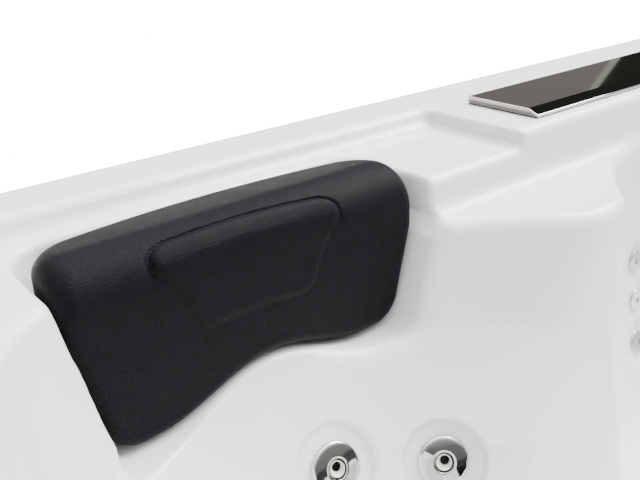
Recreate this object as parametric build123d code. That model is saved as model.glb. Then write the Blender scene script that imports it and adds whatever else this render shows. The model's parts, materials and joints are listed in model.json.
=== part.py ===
from build123d import *
import math
import os

# Hot tub, millimetres. Origin at the middle of the footprint, on the floor.
# +Z is up, +Y points to the back side with the waterfall, -Y to the access panel.

# Overall size
SIDE = 2200.0
RIM_Z = 900.0
WALL = 6.0
RIM_CORNER_R = 150.0
LIP_DROP = 40.0

# Rim deck, raised blocks and the basin's upper wall
DECK_HALF = 1024.0
DECK_DRAFT = 11.0
DECK_DEPTH = 20.0
DECK_CORNER_R = 110.0
DECK_INNER_R = 17.0
BLOCK_HALF = 333.0
BASIN_HALF = 875.0
BASIN_DRAFT = 7.0
BASIN_CORNER_R = 70.0
LEDGE_DEPTH = 60.0

# Seat level, footwell and the open middle of the basin
VOID_HALF = 757.0
VOID_DRAFT = 64.0
VOID_CORNER_R = 150.0
SEAT_DEPTH = 480.0
WELL_HALF = 350.0
WELL_DRAFT = 20.0
WELL_CORNER_R = 120.0
WELL_DEPTH = 780.0

# Corner seat: depth, left wall x, back corner y, back middle y, right end x and y, flank end x and y
CORNER_SEAT_X = -681.0
CORNER_SEAT_INNER = 250.0
CORNER_SEAT_SECTIONS = [
    (LEDGE_DEPTH, 868.0, 866.0, 872.0, -460.0, 868.0, -320.0, 700.0),
    (165.0, 866.0, 822.0, 876.0, -478.0, 822.0, -360.0, 690.0),
    (262.0, 862.0, 748.0, 826.0, -500.0, 748.0, -430.0, 670.0),
    (SEAT_DEPTH, 850.0, 655.0, 728.0, -520.0, 655.0, -470.0, 600.0),
]

# Arm pocket beside each corner seat: depth, left wall x, back y, y where the left wall turns, corner radius
ARM_SECTIONS = [
    (0.0, 988.0, 897.0, 705.0, 100.0),
    (60.0, 975.0, 889.0, 700.0, 103.0),
    (165.0, 955.0, 877.0, 670.0, 112.0),
    (262.0, 925.0, 826.0, 620.0, 150.0),
    (SEAT_DEPTH, 862.0, 728.0, 500.0, 190.0),
]
ARM_INNER_X = 640.0
ARM_END_Y = 350.0
ARM_END_INSET = 70.0
ARM_END_R = 40.0
ARM_STRAIGHT = 125.0
ARM_TURN = 0.325

# Centre seat: depth, half width of the flat back, its y, half width at the nose, its y
CENTRE_SEAT_SECTIONS = [
    (LEDGE_DEPTH, 118.0, 868.0, 308.0, 742.0),
    (242.0, 118.0, 863.0, 296.0, 720.0),
    (364.0, 118.0, 843.0, 290.0, 704.0),
    (460.0, 118.0, 806.0, 284.0, 690.0),
]
CENTRE_SEAT_R = 397.0

# Pillow and the recess that it sits in
PILLOW_X = -686.0
PILLOW_HALF_W = 185.0
PILLOW_LOW_HALF_W = 166.0
PILLOW_TOP_DEPTH = 12.0
PILLOW_SHELF_DEPTH = 75.0
PILLOW_CORNER_DEPTH = 167.0
PILLOW_ARCH_DEPTH = 139.0
PILLOW_FRONT_Y = 878.0
PILLOW_APRON = 34.0
PILLOW_BACK_Y = 989.0
PILLOW_BACK_R = 42.0
PILLOW_TOE_R = 24.0
PILLOW_EDGE_R = 14.0
PILLOW_SIDE_GAP = 10.0
PILLOW_BACK_GAP = 6.0
PILLOW_REST_GAP = 0.3
PEG_R = 6.0
PEG_H = 24.0
PEG_SPREAD = 90.0
PEG_CLEARANCE = 0.3

# Large directional jets: x on the seat back, depth below the rim
JET_SPOTS = ((-655.4, 262.0), (-551.7, 282.6))
JET_LEAN = 27.0
JET_FACE_R = 27.0
JET_FACE_T = 4.7
JET_DIMPLE_R = 43.0
JET_DIMPLE_DEPTH = 4.0
JET_FLANGE_R = 25.8
JET_FLANGE_T = 2.0
JET_HOLE_R = 24.5
JET_BODY_R = 24.0
JET_BORE_R = 21.0
JET_BODY_LENGTH = 75.0
JET_END_T = 4.0
JET_STEM_LENGTH = 24.0
JET_STEM_GAP = 0.06
JET_NUT_R = 33.0
JET_NUT_T = 12.0
JET_FACE_GAP = 0.3
NOZZLE_BALL_R = 12.0
NOZZLE_PIVOT_Z = -9.0
NOZZLE_GAP = 0.3
NOZZLE_NECK_R = 7.6
NOZZLE_TIP_Z = 4.0
NOZZLE_BORE_R = 4.5
NOZZLE_MOUTH_R = 12.6
NOZZLE_BACK_R = 8.5
HOSE_R = 16.0
HOSE_WALL = 3.0
HOSE_BEND_R = 36.0

# Small fixed jets
SMALL_DEPTHS = (242.0, 300.0, 364.0)
SMALL_CENTRE_X = 66.0
SMALL_CORNER_OFFSET = 44.0
SMALL_FACE_R = 16.0
SMALL_FACE_T = 4.0
SMALL_DIMPLE_R = 19.0
SMALL_DIMPLE_DEPTH = 4.0
SMALL_BODY_R = 11.5
SMALL_HOLE_R = 12.0
SMALL_BORE_R = 4.0
SMALL_FLANGE_R = 15.0
SMALL_FLANGE_T = 1.5
MANIFOLD_R = 19.0
MANIFOLD_TOP_DEPTH = 215.0

# Water ring main behind the seats
RING_HALF = 960.0
RING_Z = 430.0
RING_R = 25.0
RING_WALL = 3.0
RING_BEND_R = 150.0

# Waterfall strip on the back block
STRIP_HALF_L = 281.0
STRIP_FRONT_Y = 892.0
STRIP_BACK_Y = 999.0
STRIP_T = 10.0
STRIP_SKIN = 3.0
STRIP_BEVEL = 4.0
FALL_SLOT_HALF_L = 240.0
FALL_SLOT_W = 24.0
FALL_BOX_DEPTH = 50.0
FALL_BOX_WALL = 4.0

# Cabinet and frame
LIP_CLEARANCE = 9.0
PANEL_T = 20.0
PANEL_TOP_GAP = 3.0
BASE_T = 8.0
BASE_EDGE_H = 30.0
BASE_EDGE_T = 6.0
GROOVE_PITCH = 102.0
GROOVE_W = 6.0
GROOVE_D = 4.0
CORNER_COVER_LEG = 150.0
CORNER_COVER_GAP = 1.0
RAIL_T = 35.0
RAIL_H = 60.0
POST_W = 60.0
POST_INSET = 34.0
MID_POST_X = 380.0
BEAM_X = 250.0
SCREW_R = 4.0
SCREW_HEAD_R = 7.0
SCREW_HEAD_T = 3.0
SCREW_LENGTH = 18.0
SCREW_GAP = 0.1
SCREW_INSET = 15.0
SCREW_SIDE = 30.0

# Controls
KNOB_LINE = 985.0
DIVERTER_YS = (-75.0, 75.0)
DIVERTER_R = 42.0
DIVERTER_H = 22.0
DIVERTER_STEM_R = 14.0
DIVERTER_BODY_R = 34.0
DIVERTER_BODY_H = 110.0
AIR_YS = (-190.0, 190.0)
AIR_R = 22.0
AIR_H = 16.0
AIR_STEM_R = 8.0
AIR_BODY_R = 17.0
AIR_BODY_H = 90.0
STEM_GAP = 0.06
RIM_HOLE_GAP = 1.0
KNOB_LIFT = 0.3
STEM_DEPTH = 50.0
CONTROL_HALF_L = 95.0
CONTROL_HALF_W = 36.0
CONTROL_T = 6.0
CONTROL_EDGE = 12.0
CONTROL_BODY_DEPTH = 32.0
BUTTON_R = 8.0
BUTTON_TRAVEL = 1.0
BUTTON_PROUD = 2.0
BUTTON_GAP = 0.25
BUTTON_SPREAD = 52.0

# Filter, skimmer and weir on the right side
FILTER_X = 955.0
FILTER_R = 66.0
FILTER_WALL = 4.0
FILTER_FLANGE_R = 78.0
FILTER_FLANGE_T = 3.0
FILTER_DEPTH = 350.0
LID_T = 6.0
LID_PLUG_H = 18.0
LID_GAP = 0.5
LID_GRIP_R = 26.0
LID_GRIP_W = 6.0
LID_GRIP_D = 3.0
CARTRIDGE_R = 52.0
CARTRIDGE_CAP = 4.0
CARTRIDGE_CAP_H = 12.0
CARTRIDGE_CORE_R = 24.0
CARTRIDGE_H = 240.0
THROAT_HALF_W = 50.0
THROAT_TOP_DEPTH = 105.0
THROAT_BOTTOM_DEPTH = 215.0
THROAT_WALL = 4.0
THROAT_FACE_X = 736.0
THROAT_FLANGE = 14.0
THROAT_GAP = 0.2
WEIR_IN = 40.0
WEIR_T = 5.0
WEIR_GAP = 2.0
WEIR_PIN_R = 3.0
WEIR_SLEEVE = 2.0
WEIR_PIN_GAP = 0.08

# Footwell fittings
SUCTION_R = 55.0
SUCTION_T = 14.0
SUCTION_SPREAD = 150.0
SUCTION_Z = 200.0
SUCTION_TAIL = 40.0
SUCTION_RINGS = ((14.0, 6), (26.0, 12), (38.0, 18))
SUCTION_SLOT_R = 2.6
LIGHT_R = 62.0
LIGHT_T = 10.0
LIGHT_Z = 270.0
LIGHT_BODY_R = 40.0
LIGHT_BODY_L = 44.0

# Pump, heater, control box and drain in the front compartment
PUMP_X = -600.0
PUMP_Y = -740.0
MOTOR_R = 78.0
MOTOR_LENGTH = 270.0
WET_R = 92.0
WET_LENGTH = 84.0
WET_WALL = 8.0
SPOUT_WALL = 4.0
EYE_LENGTH = 30.0
RISER_TOP = 100.0
SHAFT_R = 8.0
SHAFT_GAP = 0.08
SHAFT_IN_MOTOR = 118.0
IMPELLER_R = 66.0
IMPELLER_T = 24.0
PLATE_T = 8.0
PIPE_R = 25.0
PIPE_WALL = 3.0
PIPE_BEND_R = 34.0
CROSS_Y = -470.0
HEATER_R = 30.0
HEATER_LENGTH = 360.0
HEATER_UNION = 9.0
HEATER_Y = -890.0
HEATER_Z = 350.0
HEATER_END_X = 320.0
BOX_X = 600.0
BOX_Y = -820.0
BOX_W = 300.0
BOX_D = 120.0
BOX_H = 240.0
BOX_WALL = 4.0
DRAIN_X = -850.0
DRAIN_Z = 110.0
DRAIN_R = 16.0
DRAIN_BORE_R = 10.0
DRAIN_FLANGE_R = 24.0
DRAIN_LENGTH = 80.0
DRAIN_CAP_R = 27.0
DRAIN_CAP_T = 7.0
DRAIN_FLANGE_T = 3.0
DRAIN_LEVER_T = 3.0

CABINET_HALF = SIDE / 2 - WALL - LIP_CLEARANCE
CABINET_R = RIM_CORNER_R - WALL - LIP_CLEARANCE
RAIL_OUT = CABINET_HALF - PANEL_T
RAIL_CORNER_R = CABINET_R - PANEL_T
PANEL_TOP = RIM_Z - LIP_DROP - PANEL_TOP_GAP
RIM_UNDER = RIM_Z - WALL
RAIL_BOTTOM = RIM_UNDER - RAIL_H
FRAME_TOP = BASE_T + RAIL_H
RIM_TOP = Pos(0, 0, RIM_Z)
SEAT_X = THROAT_FACE_X + THROAT_WALL
FALL_Y = (STRIP_FRONT_Y + STRIP_BACK_Y) / 2
SUCTION_XS = (-SUCTION_SPREAD, SUCTION_SPREAD)
WEIR_PIN_X = SEAT_X + WEIR_IN
WEIR_PIN_Z = RIM_Z - THROAT_BOTTOM_DEPTH + WEIR_PIN_R + WEIR_SLEEVE + WEIR_GAP
PEG_Y = PILLOW_FRONT_Y + PILLOW_APRON + 40.0
WELL_LEAN = math.atan2(WELL_DRAFT, WELL_DEPTH - SEAT_DEPTH)


def level(depth):
    return RIM_Z - depth


def rounded(half_x, half_y, radius, z):
    return Pos(0, 0, z) * RectangleRounded(2 * half_x, 2 * half_y, radius)


def block(x0, x1, y0, y1, z0, z1):
    return Pos((x0 + x1) / 2, (y0 + y1) / 2, (z0 + z1) / 2) * Box(x1 - x0, y1 - y0, z1 - z0)


def flip(shape, sx, sy):
    if sx < 0:
        shape = mirror(shape, Plane.YZ)
    if sy < 0:
        shape = mirror(shape, Plane.XZ)
    return shape


def rod(place, radius, z0, z1):
    return place * Pos(0, 0, (z0 + z1) / 2) * Cylinder(radius, z1 - z0)


def tube(place, outer, inner, z0, z1):
    return rod(place, outer, z0, z1) - rod(place, inner, z0 - 1, z1 + 1)


def pipe(points, radius, wall, bend):
    path = FilletPolyline(*points, radius=bend)
    start = Plane(origin=path @ 0, z_dir=path % 0)
    return sweep(start * (Circle(radius) - Circle(radius - wall)), path=path)


def corner_outline(section, grow):
    depth, left, corner_y, middle_y, right_x, right_y, flank_x, flank_y = section
    z = level(depth)
    inner = CORNER_SEAT_INNER - grow
    a = Vector(-(left + grow), inner, z)
    b = Vector(-(left + grow), corner_y + grow, z)
    m = Vector(CORNER_SEAT_X, middle_y + grow, z)
    c = Vector(right_x + grow, right_y + grow, z)
    d = Vector(flank_x + grow, flank_y, z)
    e = Vector(flank_x + grow, inner, z)
    edges = [Line(a, b), ThreePointArc(b, m, c), Line(c, d), Line(d, e), Line(e, a)]
    return make_face(Curve() + edges)


def arm_outline(section, grow):
    depth, left, back, turn_y, radius = section
    end = ARM_END_Y - grow
    far = back + grow
    wall = left + grow
    corner = Vector(-(wall - ARM_TURN * (far - turn_y)), far, level(depth))
    heel = Vector(-(wall - ARM_END_INSET), end, level(depth))
    face = make_face(Polyline(
        Vector(-ARM_INNER_X, end, level(depth)), heel,
        Vector(-wall, turn_y - ARM_STRAIGHT, level(depth)), Vector(-wall, turn_y, level(depth)),
        corner, Vector(-ARM_INNER_X, far, level(depth)), close=True))
    face = fillet(face.vertices().sort_by_distance(corner)[0], radius)
    return fillet(face.vertices().sort_by_distance(heel)[0], ARM_END_R)


def centre_outline(section, grow):
    depth, flat_x, flat_y, nose_x, nose_y = section
    z = level(depth)
    a = Vector(-(nose_x + grow), nose_y, z)
    b = Vector(-(flat_x + grow), flat_y + grow, z)
    chord = (b - a)
    half = chord.length / 2
    bulge = CENTRE_SEAT_R - math.sqrt(CENTRE_SEAT_R ** 2 - half ** 2)
    out = Vector(-chord.Y, chord.X, 0).normalized()
    m = a + chord * 0.5 + out * bulge
    edges = [
        ThreePointArc(a, m, b),
        Line(b, Vector(-b.X, b.Y, z)),
        ThreePointArc(Vector(-b.X, b.Y, z), Vector(-m.X, m.Y, z), Vector(-a.X, a.Y, z)),
        Line(Vector(-a.X, a.Y, z), a),
    ]
    return make_face(Curve() + edges)


def stack(outline, sections, grow):
    faces = [outline(s, grow) for s in sections]
    solid = loft(faces, ruled=True)
    if grow > 0:
        solid += extrude(faces[-1], amount=grow, dir=(0, 0, -1))
    return solid


def pillow_outline(grow, top_z):
    half = PILLOW_HALF_W + grow
    low = PILLOW_LOW_HALF_W + grow
    corner_z = level(PILLOW_CORNER_DEPTH) - grow
    arch_z = level(PILLOW_ARCH_DEPTH) - grow
    edges = [
        Line((-half, top_z), (-low, corner_z)),
        ThreePointArc((-low, corner_z), (0, arch_z), (low, corner_z)),
        Line((low, corner_z), (half, top_z)),
        Line((half, top_z), (-half, top_z)),
    ]
    return make_face(Curve() + edges)


def pillow_prism(grow, y0, y1, top_z):
    face = Plane(origin=(PILLOW_X, y1, 0), x_dir=(1, 0, 0), z_dir=(0, -1, 0)) * pillow_outline(grow, top_z)
    return extrude(face, amount=y1 - y0)


def pillow_recess(grow):
    gap = PILLOW_SIDE_GAP
    half = PILLOW_HALF_W + gap + grow
    back = PILLOW_BACK_Y + PILLOW_BACK_GAP + grow
    shelf = level(PILLOW_SHELF_DEPTH) - grow
    upper = block(PILLOW_X - half, PILLOW_X + half, BASIN_HALF - 60, back, shelf, RIM_Z)
    apron_back = PILLOW_FRONT_Y + PILLOW_APRON + PILLOW_BACK_GAP / 2 + grow
    lower = pillow_prism(gap / 2 + grow, BASIN_HALF - 60, apron_back, shelf + 1)
    return upper + lower


def deck_recess(grow):
    top_half = DECK_HALF + grow
    low_half = DECK_HALF - DECK_DRAFT + grow
    top_block = BLOCK_HALF - grow
    low_block = BLOCK_HALF - grow
    faces = []
    for half, inner, z in ((top_half, top_block, RIM_Z), (low_half, low_block, level(DECK_DEPTH) - grow)):
        size = half - inner
        middle = (half + inner) / 2
        square = Pos(-middle, middle, z) * Rectangle(size, size)
        corners = square.vertices().sort_by(lambda v: v.Y - v.X)
        square = fillet(corners[-1], DECK_CORNER_R)
        others = [v for v in square.vertices() if v.Y - v.X < 2 * middle + size - 1.5 * DECK_CORNER_R]
        faces.append(fillet(others, DECK_INNER_R))
    return loft(faces, ruled=True)


def basin(grow):
    upper = loft([
        rounded(BASIN_HALF + grow, BASIN_HALF + grow, BASIN_CORNER_R + grow, RIM_Z),
        rounded(BASIN_HALF - BASIN_DRAFT + grow, BASIN_HALF - BASIN_DRAFT + grow, BASIN_CORNER_R + grow,
                level(LEDGE_DEPTH) - grow),
    ], ruled=True)
    void = loft([
        rounded(VOID_HALF + grow, VOID_HALF + grow, VOID_CORNER_R + grow, level(LEDGE_DEPTH)),
        rounded(VOID_HALF - VOID_DRAFT + grow, VOID_HALF - VOID_DRAFT + grow, VOID_CORNER_R + grow,
                level(SEAT_DEPTH) - grow),
    ], ruled=True)
    well = loft([
        rounded(WELL_HALF + grow, WELL_HALF + grow, WELL_CORNER_R + grow, level(SEAT_DEPTH)),
        rounded(WELL_HALF - WELL_DRAFT + grow, WELL_HALF - WELL_DRAFT + grow, WELL_CORNER_R + grow,
                level(WELL_DEPTH) - grow),
    ], ruled=True)
    corner = stack(corner_outline, CORNER_SEAT_SECTIONS, grow) + stack(arm_outline, ARM_SECTIONS, grow)
    corner = corner + pillow_recess(grow) + deck_recess(grow)
    centre = stack(centre_outline, CENTRE_SEAT_SECTIONS, grow)
    seats = [flip(centre, 1, sy) for sy in (1, -1)]
    seats += [flip(corner, sx, sy) for sx in (1, -1) for sy in (1, -1)]
    return upper + [void, well, *seats]


def section_y(sections, column_y, x, depth):
    rows = [(s[0], column_y(s, x)) for s in sections]
    for (d0, y0), (d1, y1) in zip(rows, rows[1:]):
        if d0 <= depth <= d1:
            return y0 + (y1 - y0) * (depth - d0) / (d1 - d0)
    return rows[-1][1]


def corner_arc(section, x):
    left, corner_y, middle_y, right_x, right_y = section[1:6]
    x0, y0, x1, y1, x2, y2 = -left, corner_y, CORNER_SEAT_X, middle_y, right_x, right_y
    k = 2 * (x0 * (y1 - y2) + x1 * (y2 - y0) + x2 * (y0 - y1))
    s0, s1, s2 = x0 ** 2 + y0 ** 2, x1 ** 2 + y1 ** 2, x2 ** 2 + y2 ** 2
    cx = (s0 * (y1 - y2) + s1 * (y2 - y0) + s2 * (y0 - y1)) / k
    cy = (s0 * (x2 - x1) + s1 * (x0 - x2) + s2 * (x1 - x0)) / k
    radius = math.hypot(x1 - cx, y1 - cy)
    return cx, cy, radius


def corner_wall_y(section, x):
    cx, cy, radius = corner_arc(section, x)
    return cy + math.sqrt(radius ** 2 - (x - cx) ** 2)


def centre_wall_y(section, x):
    return section[2]


def facing(x, y, depth, turn, lean):
    normal = Vector(
        math.sin(math.radians(turn)) * math.cos(math.radians(lean)),
        -math.cos(math.radians(turn)) * math.cos(math.radians(lean)),
        math.sin(math.radians(lean)),
    )
    return Plane(origin=(x, y, level(depth)), z_dir=normal)


def large_jet_places():
    places = []
    for x, depth in JET_SPOTS:
        y = section_y(CORNER_SEAT_SECTIONS, corner_wall_y, x, depth)
        cx, cy, radius = corner_arc(CORNER_SEAT_SECTIONS[2], x)
        turn = -math.degrees(math.asin((x - cx) / radius))
        places.append(facing(x, y, depth, turn, JET_LEAN))
    return places


def small_jet_places(sections, wall_y, columns):
    places = []
    for x in columns:
        for depth in SMALL_DEPTHS:
            y = section_y(sections, wall_y, x, depth)
            y_below = section_y(sections, wall_y, x, depth + 30)
            lean = math.degrees(math.atan2(y - y_below, 30))
            places.append(facing(x, y, depth, 0, lean))
    return places


CENTRE_COLUMNS = (-SMALL_CENTRE_X, SMALL_CENTRE_X)
CORNER_COLUMNS = (CORNER_SEAT_X - SMALL_CORNER_OFFSET, CORNER_SEAT_X + SMALL_CORNER_OFFSET)
LARGE_PLACES = large_jet_places()
SMALL_CENTRE_PLACES = small_jet_places(CENTRE_SEAT_SECTIONS, centre_wall_y, CENTRE_COLUMNS)
SMALL_CORNER_PLACES = small_jet_places(CORNER_SEAT_SECTIONS, corner_wall_y, CORNER_COLUMNS)
SMALL_SETS = [(p, 1, sy) for sy in (1, -1) for p in SMALL_CENTRE_PLACES]
SMALL_SETS += [(p, sx, -1) for sx in (1, -1) for p in SMALL_CORNER_PLACES]


def acrylic_shell():
    slab = extrude(rounded(SIDE / 2, SIDE / 2, RIM_CORNER_R, RIM_UNDER), amount=WALL)
    lip = extrude(
        rounded(SIDE / 2, SIDE / 2, RIM_CORNER_R, RIM_Z - LIP_DROP)
        - rounded(SIDE / 2 - WALL, SIDE / 2 - WALL, RIM_CORNER_R - WALL, RIM_Z - LIP_DROP),
        amount=LIP_DROP,
    )
    added = [lip, basin(WALL)]
    cuts = [basin(0)]
    for place in LARGE_PLACES:
        for sx in (1, -1):
            added.append(flip(rod(place, JET_DIMPLE_R + WALL, -(JET_DIMPLE_DEPTH + WALL), 0), sx, 1))
            cuts.append(flip(rod(place, JET_DIMPLE_R, -JET_DIMPLE_DEPTH, 30), sx, 1))
            cuts.append(flip(rod(place, JET_HOLE_R, -30, 1), sx, 1))
    for place, sx, sy in SMALL_SETS:
        added.append(flip(rod(place, SMALL_DIMPLE_R + WALL, -(SMALL_DIMPLE_DEPTH + WALL), 0), sx, sy))
        cuts.append(flip(rod(place, SMALL_DIMPLE_R, -SMALL_DIMPLE_DEPTH, 20), sx, sy))
        cuts.append(flip(rod(place, SMALL_HOLE_R, -30, 1), sx, sy))
    half, low, high = throat_flange_size()
    added.append(block(SEAT_X - WALL, SEAT_X + WALL, -half - WALL, half + WALL, low - WALL, high + WALL))
    cuts.append(block(SEAT_X - 60, SEAT_X, -half, half, low, high))
    cuts.append(throat_duct(RIM_HOLE_GAP / 2, SEAT_X - 1, FILTER_X - FILTER_R))
    cuts.append(rod(RIM_TOP * Pos(FILTER_X, 0, 0), FILTER_R + FILTER_WALL + RIM_HOLE_GAP, -WALL - 1, 1))
    for y in DIVERTER_YS:
        cuts.append(rod(RIM_TOP * Pos(-KNOB_LINE, y, 0), DIVERTER_STEM_R + RIM_HOLE_GAP, -WALL - 1, 1))
    for y in AIR_YS:
        cuts.append(rod(RIM_TOP * Pos(-KNOB_LINE, y, 0), AIR_STEM_R + RIM_HOLE_GAP, -WALL - 1, 1))
    cuts.append(block(-FALL_SLOT_HALF_L, FALL_SLOT_HALF_L, FALL_Y - FALL_SLOT_W / 2, FALL_Y + FALL_SLOT_W / 2,
                      RIM_UNDER - 1, RIM_Z + 1))
    box_l, box_w = CONTROL_HALF_L - CONTROL_EDGE, CONTROL_HALF_W - CONTROL_EDGE
    cuts.append(block(-box_l, box_l, -KNOB_LINE - box_w, -KNOB_LINE + box_w, RIM_UNDER - 1, RIM_Z + 1))
    for place in suction_places():
        cuts.append(rod(place, PIPE_R + RIM_HOLE_GAP, -30, 30))
    cuts.append(rod(light_place(), LIGHT_BODY_R + RIM_HOLE_GAP, -30, 30))
    return slab + added - cuts


def well_wall(z):
    return WELL_HALF - (level(SEAT_DEPTH) - z) * math.tan(WELL_LEAN)


def suction_places():
    inward = Vector(0, math.cos(WELL_LEAN), math.sin(WELL_LEAN))
    return [Plane(origin=(x, -well_wall(SUCTION_Z), SUCTION_Z), z_dir=inward) for x in SUCTION_XS]


def light_place():
    inward = Vector(math.cos(WELL_LEAN), 0, math.sin(WELL_LEAN))
    return Plane(origin=(-well_wall(LIGHT_Z), 0, LIGHT_Z), z_dir=inward)


def throat_flange_size():
    half = THROAT_HALF_W + THROAT_WALL + THROAT_FLANGE
    low = level(THROAT_BOTTOM_DEPTH) - THROAT_WALL - THROAT_FLANGE
    high = level(THROAT_TOP_DEPTH) + THROAT_WALL + THROAT_FLANGE
    return half, low, high


def throat_duct(grow, x0, x1):
    half = THROAT_HALF_W + THROAT_WALL + grow
    low = level(THROAT_BOTTOM_DEPTH) - THROAT_WALL - grow
    high = level(THROAT_TOP_DEPTH) + THROAT_WALL + grow
    return block(x0, x1, -half, half, low, high)


def filter_canister():
    middle = Pos(FILTER_X, 0, RIM_Z)
    bottom = -FILTER_DEPTH
    cup = rod(middle, FILTER_R + FILTER_WALL, bottom, 0)
    flange = rod(middle, FILTER_FLANGE_R, 0, FILTER_FLANGE_T)
    outlet = rod(middle, PIPE_R, RING_Z - RIM_Z, bottom + 1)
    chamber = rod(middle, FILTER_R, bottom + FILTER_WALL, FILTER_FLANGE_T + 1)
    bore = rod(middle, PIPE_R - PIPE_WALL, RING_Z - RIM_Z - 1, bottom + FILTER_WALL + 1)
    ring = Pos(RING_HALF, 0, RING_Z) * Rot(90, 0, 0) * Cylinder(RING_R, 200)
    window = throat_duct(THROAT_GAP, FILTER_X - FILTER_R - FILTER_WALL - 10, FILTER_X)
    return cup + [flange, outlet] - [chamber, bore, ring, window]


def skimmer_throat():
    outer = throat_duct(0, THROAT_FACE_X, FILTER_X)
    inner = throat_duct(-THROAT_WALL, THROAT_FACE_X - 1, FILTER_X + 1)
    half, low, high = throat_flange_size()
    flange = block(THROAT_FACE_X, SEAT_X, -half + 1, half - 1, low + 1, high - 1)
    canister = rod(Pos(FILTER_X, 0, RIM_Z), FILTER_R + FILTER_WALL - 2, -FILTER_DEPTH, 1)
    pin = Pos(WEIR_PIN_X, 0, WEIR_PIN_Z) * Rot(90, 0, 0) * Cylinder(WEIR_PIN_R + WEIR_PIN_GAP, 4 * THROAT_HALF_W)
    return outer + flange - [inner, canister, pin]


def weir_flap():
    half = THROAT_HALF_W - WEIR_GAP
    top = level(THROAT_TOP_DEPTH) - WEIR_GAP
    plate = block(WEIR_PIN_X - WEIR_T / 2, WEIR_PIN_X + WEIR_T / 2, -half, half, WEIR_PIN_Z, top)
    sleeve = Pos(WEIR_PIN_X, 0, WEIR_PIN_Z) * Rot(90, 0, 0) * Cylinder(WEIR_PIN_R + WEIR_SLEEVE, 2 * half)
    pin = Pos(WEIR_PIN_X, 0, WEIR_PIN_Z) * Rot(90, 0, 0) * Cylinder(WEIR_PIN_R, 2 * (THROAT_HALF_W + THROAT_WALL))
    return plate + [sleeve, pin]


def filter_lid():
    middle = Pos(FILTER_X, 0, RIM_Z + FILTER_FLANGE_T)
    plate = rod(middle, FILTER_FLANGE_R, 0, LID_T)
    plate = fillet(plate.edges().sort_by(Axis.Z)[-1], LID_T / 2)
    plug = tube(middle, FILTER_R - LID_GAP, FILTER_R - LID_GAP - FILTER_WALL, -LID_PLUG_H, 0.5)
    grip = tube(middle, LID_GRIP_R, LID_GRIP_R - LID_GRIP_W, LID_T - LID_GRIP_D, LID_T + 1)
    return plate + plug - grip


def filter_cartridge():
    foot = -FILTER_DEPTH + FILTER_WALL
    middle = Pos(FILTER_X, 0, RIM_Z)
    body = tube(middle, CARTRIDGE_R, CARTRIDGE_CORE_R, foot, foot + CARTRIDGE_H)
    caps = [
        tube(middle, CARTRIDGE_R + CARTRIDGE_CAP, CARTRIDGE_CORE_R, z, z + CARTRIDGE_CAP_H)
        for z in (foot, foot + CARTRIDGE_H - CARTRIDGE_CAP_H)
    ]
    return body + caps


def diverter_valve_bodies():
    bodies = []
    for y in DIVERTER_YS:
        middle = Pos(-KNOB_LINE, y, RIM_UNDER)
        body = rod(middle, DIVERTER_BODY_R, -DIVERTER_BODY_H, 0)
        bodies.append(body - rod(middle, DIVERTER_STEM_R + STEM_GAP, -STEM_DEPTH, 1))
    return Compound(children=bodies)


def diverter_knob(y):
    middle = Pos(-KNOB_LINE, y, RIM_Z)
    cap = rod(middle, DIVERTER_R, KNOB_LIFT, KNOB_LIFT + DIVERTER_H)
    cap = fillet(cap.edges().sort_by(Axis.Z)[-1], 5)
    wing = Pos(-KNOB_LINE, y, RIM_Z + DIVERTER_H + 5) * Box(2 * DIVERTER_R - 14, 14, 14)
    stem = rod(middle, DIVERTER_STEM_R, -WALL - STEM_DEPTH + KNOB_LIFT, KNOB_LIFT + 1)
    return cap + [wing, stem]


def air_valve_bodies():
    bodies = []
    for y in AIR_YS:
        middle = Pos(-KNOB_LINE, y, RIM_UNDER)
        body = rod(middle, AIR_BODY_R, -AIR_BODY_H, 0)
        bodies.append(body - rod(middle, AIR_STEM_R + STEM_GAP, -STEM_DEPTH, 1))
    return Compound(children=bodies)


def air_knob(y):
    middle = Pos(-KNOB_LINE, y, RIM_Z)
    cap = rod(middle, AIR_R, KNOB_LIFT, KNOB_LIFT + AIR_H)
    cap = fillet(cap.edges().sort_by(Axis.Z)[-1], 3)
    pointer = Pos(-KNOB_LINE + AIR_R - 5, y, RIM_Z + AIR_H) * Box(14, 5, 5)
    stem = rod(middle, AIR_STEM_R, -WALL - STEM_DEPTH + KNOB_LIFT, KNOB_LIFT + 1)
    return cap + [pointer, stem]


def button_places():
    return [Pos(x, -KNOB_LINE, RIM_Z + CONTROL_T) for x in (-BUTTON_SPREAD, 0, BUTTON_SPREAD)]


def topside_panel():
    plate = block(-CONTROL_HALF_L, CONTROL_HALF_L, -KNOB_LINE - CONTROL_HALF_W, -KNOB_LINE + CONTROL_HALF_W,
                  RIM_Z, RIM_Z + CONTROL_T)
    plate = fillet(plate.edges().filter_by(Axis.Z), 20)
    plate = fillet(plate.edges().group_by(Axis.Z)[-1], 2)
    box_l, box_w = CONTROL_HALF_L - CONTROL_EDGE - 1, CONTROL_HALF_W - CONTROL_EDGE - 1
    body = block(-box_l, box_l, -KNOB_LINE - box_w, -KNOB_LINE + box_w, RIM_Z - CONTROL_BODY_DEPTH, RIM_Z + 1)
    pockets = [rod(place, BUTTON_R + BUTTON_GAP, -9, 1) for place in button_places()]
    return plate + body - pockets


def button(place):
    return rod(place, BUTTON_R, -7, BUTTON_PROUD)


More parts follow.
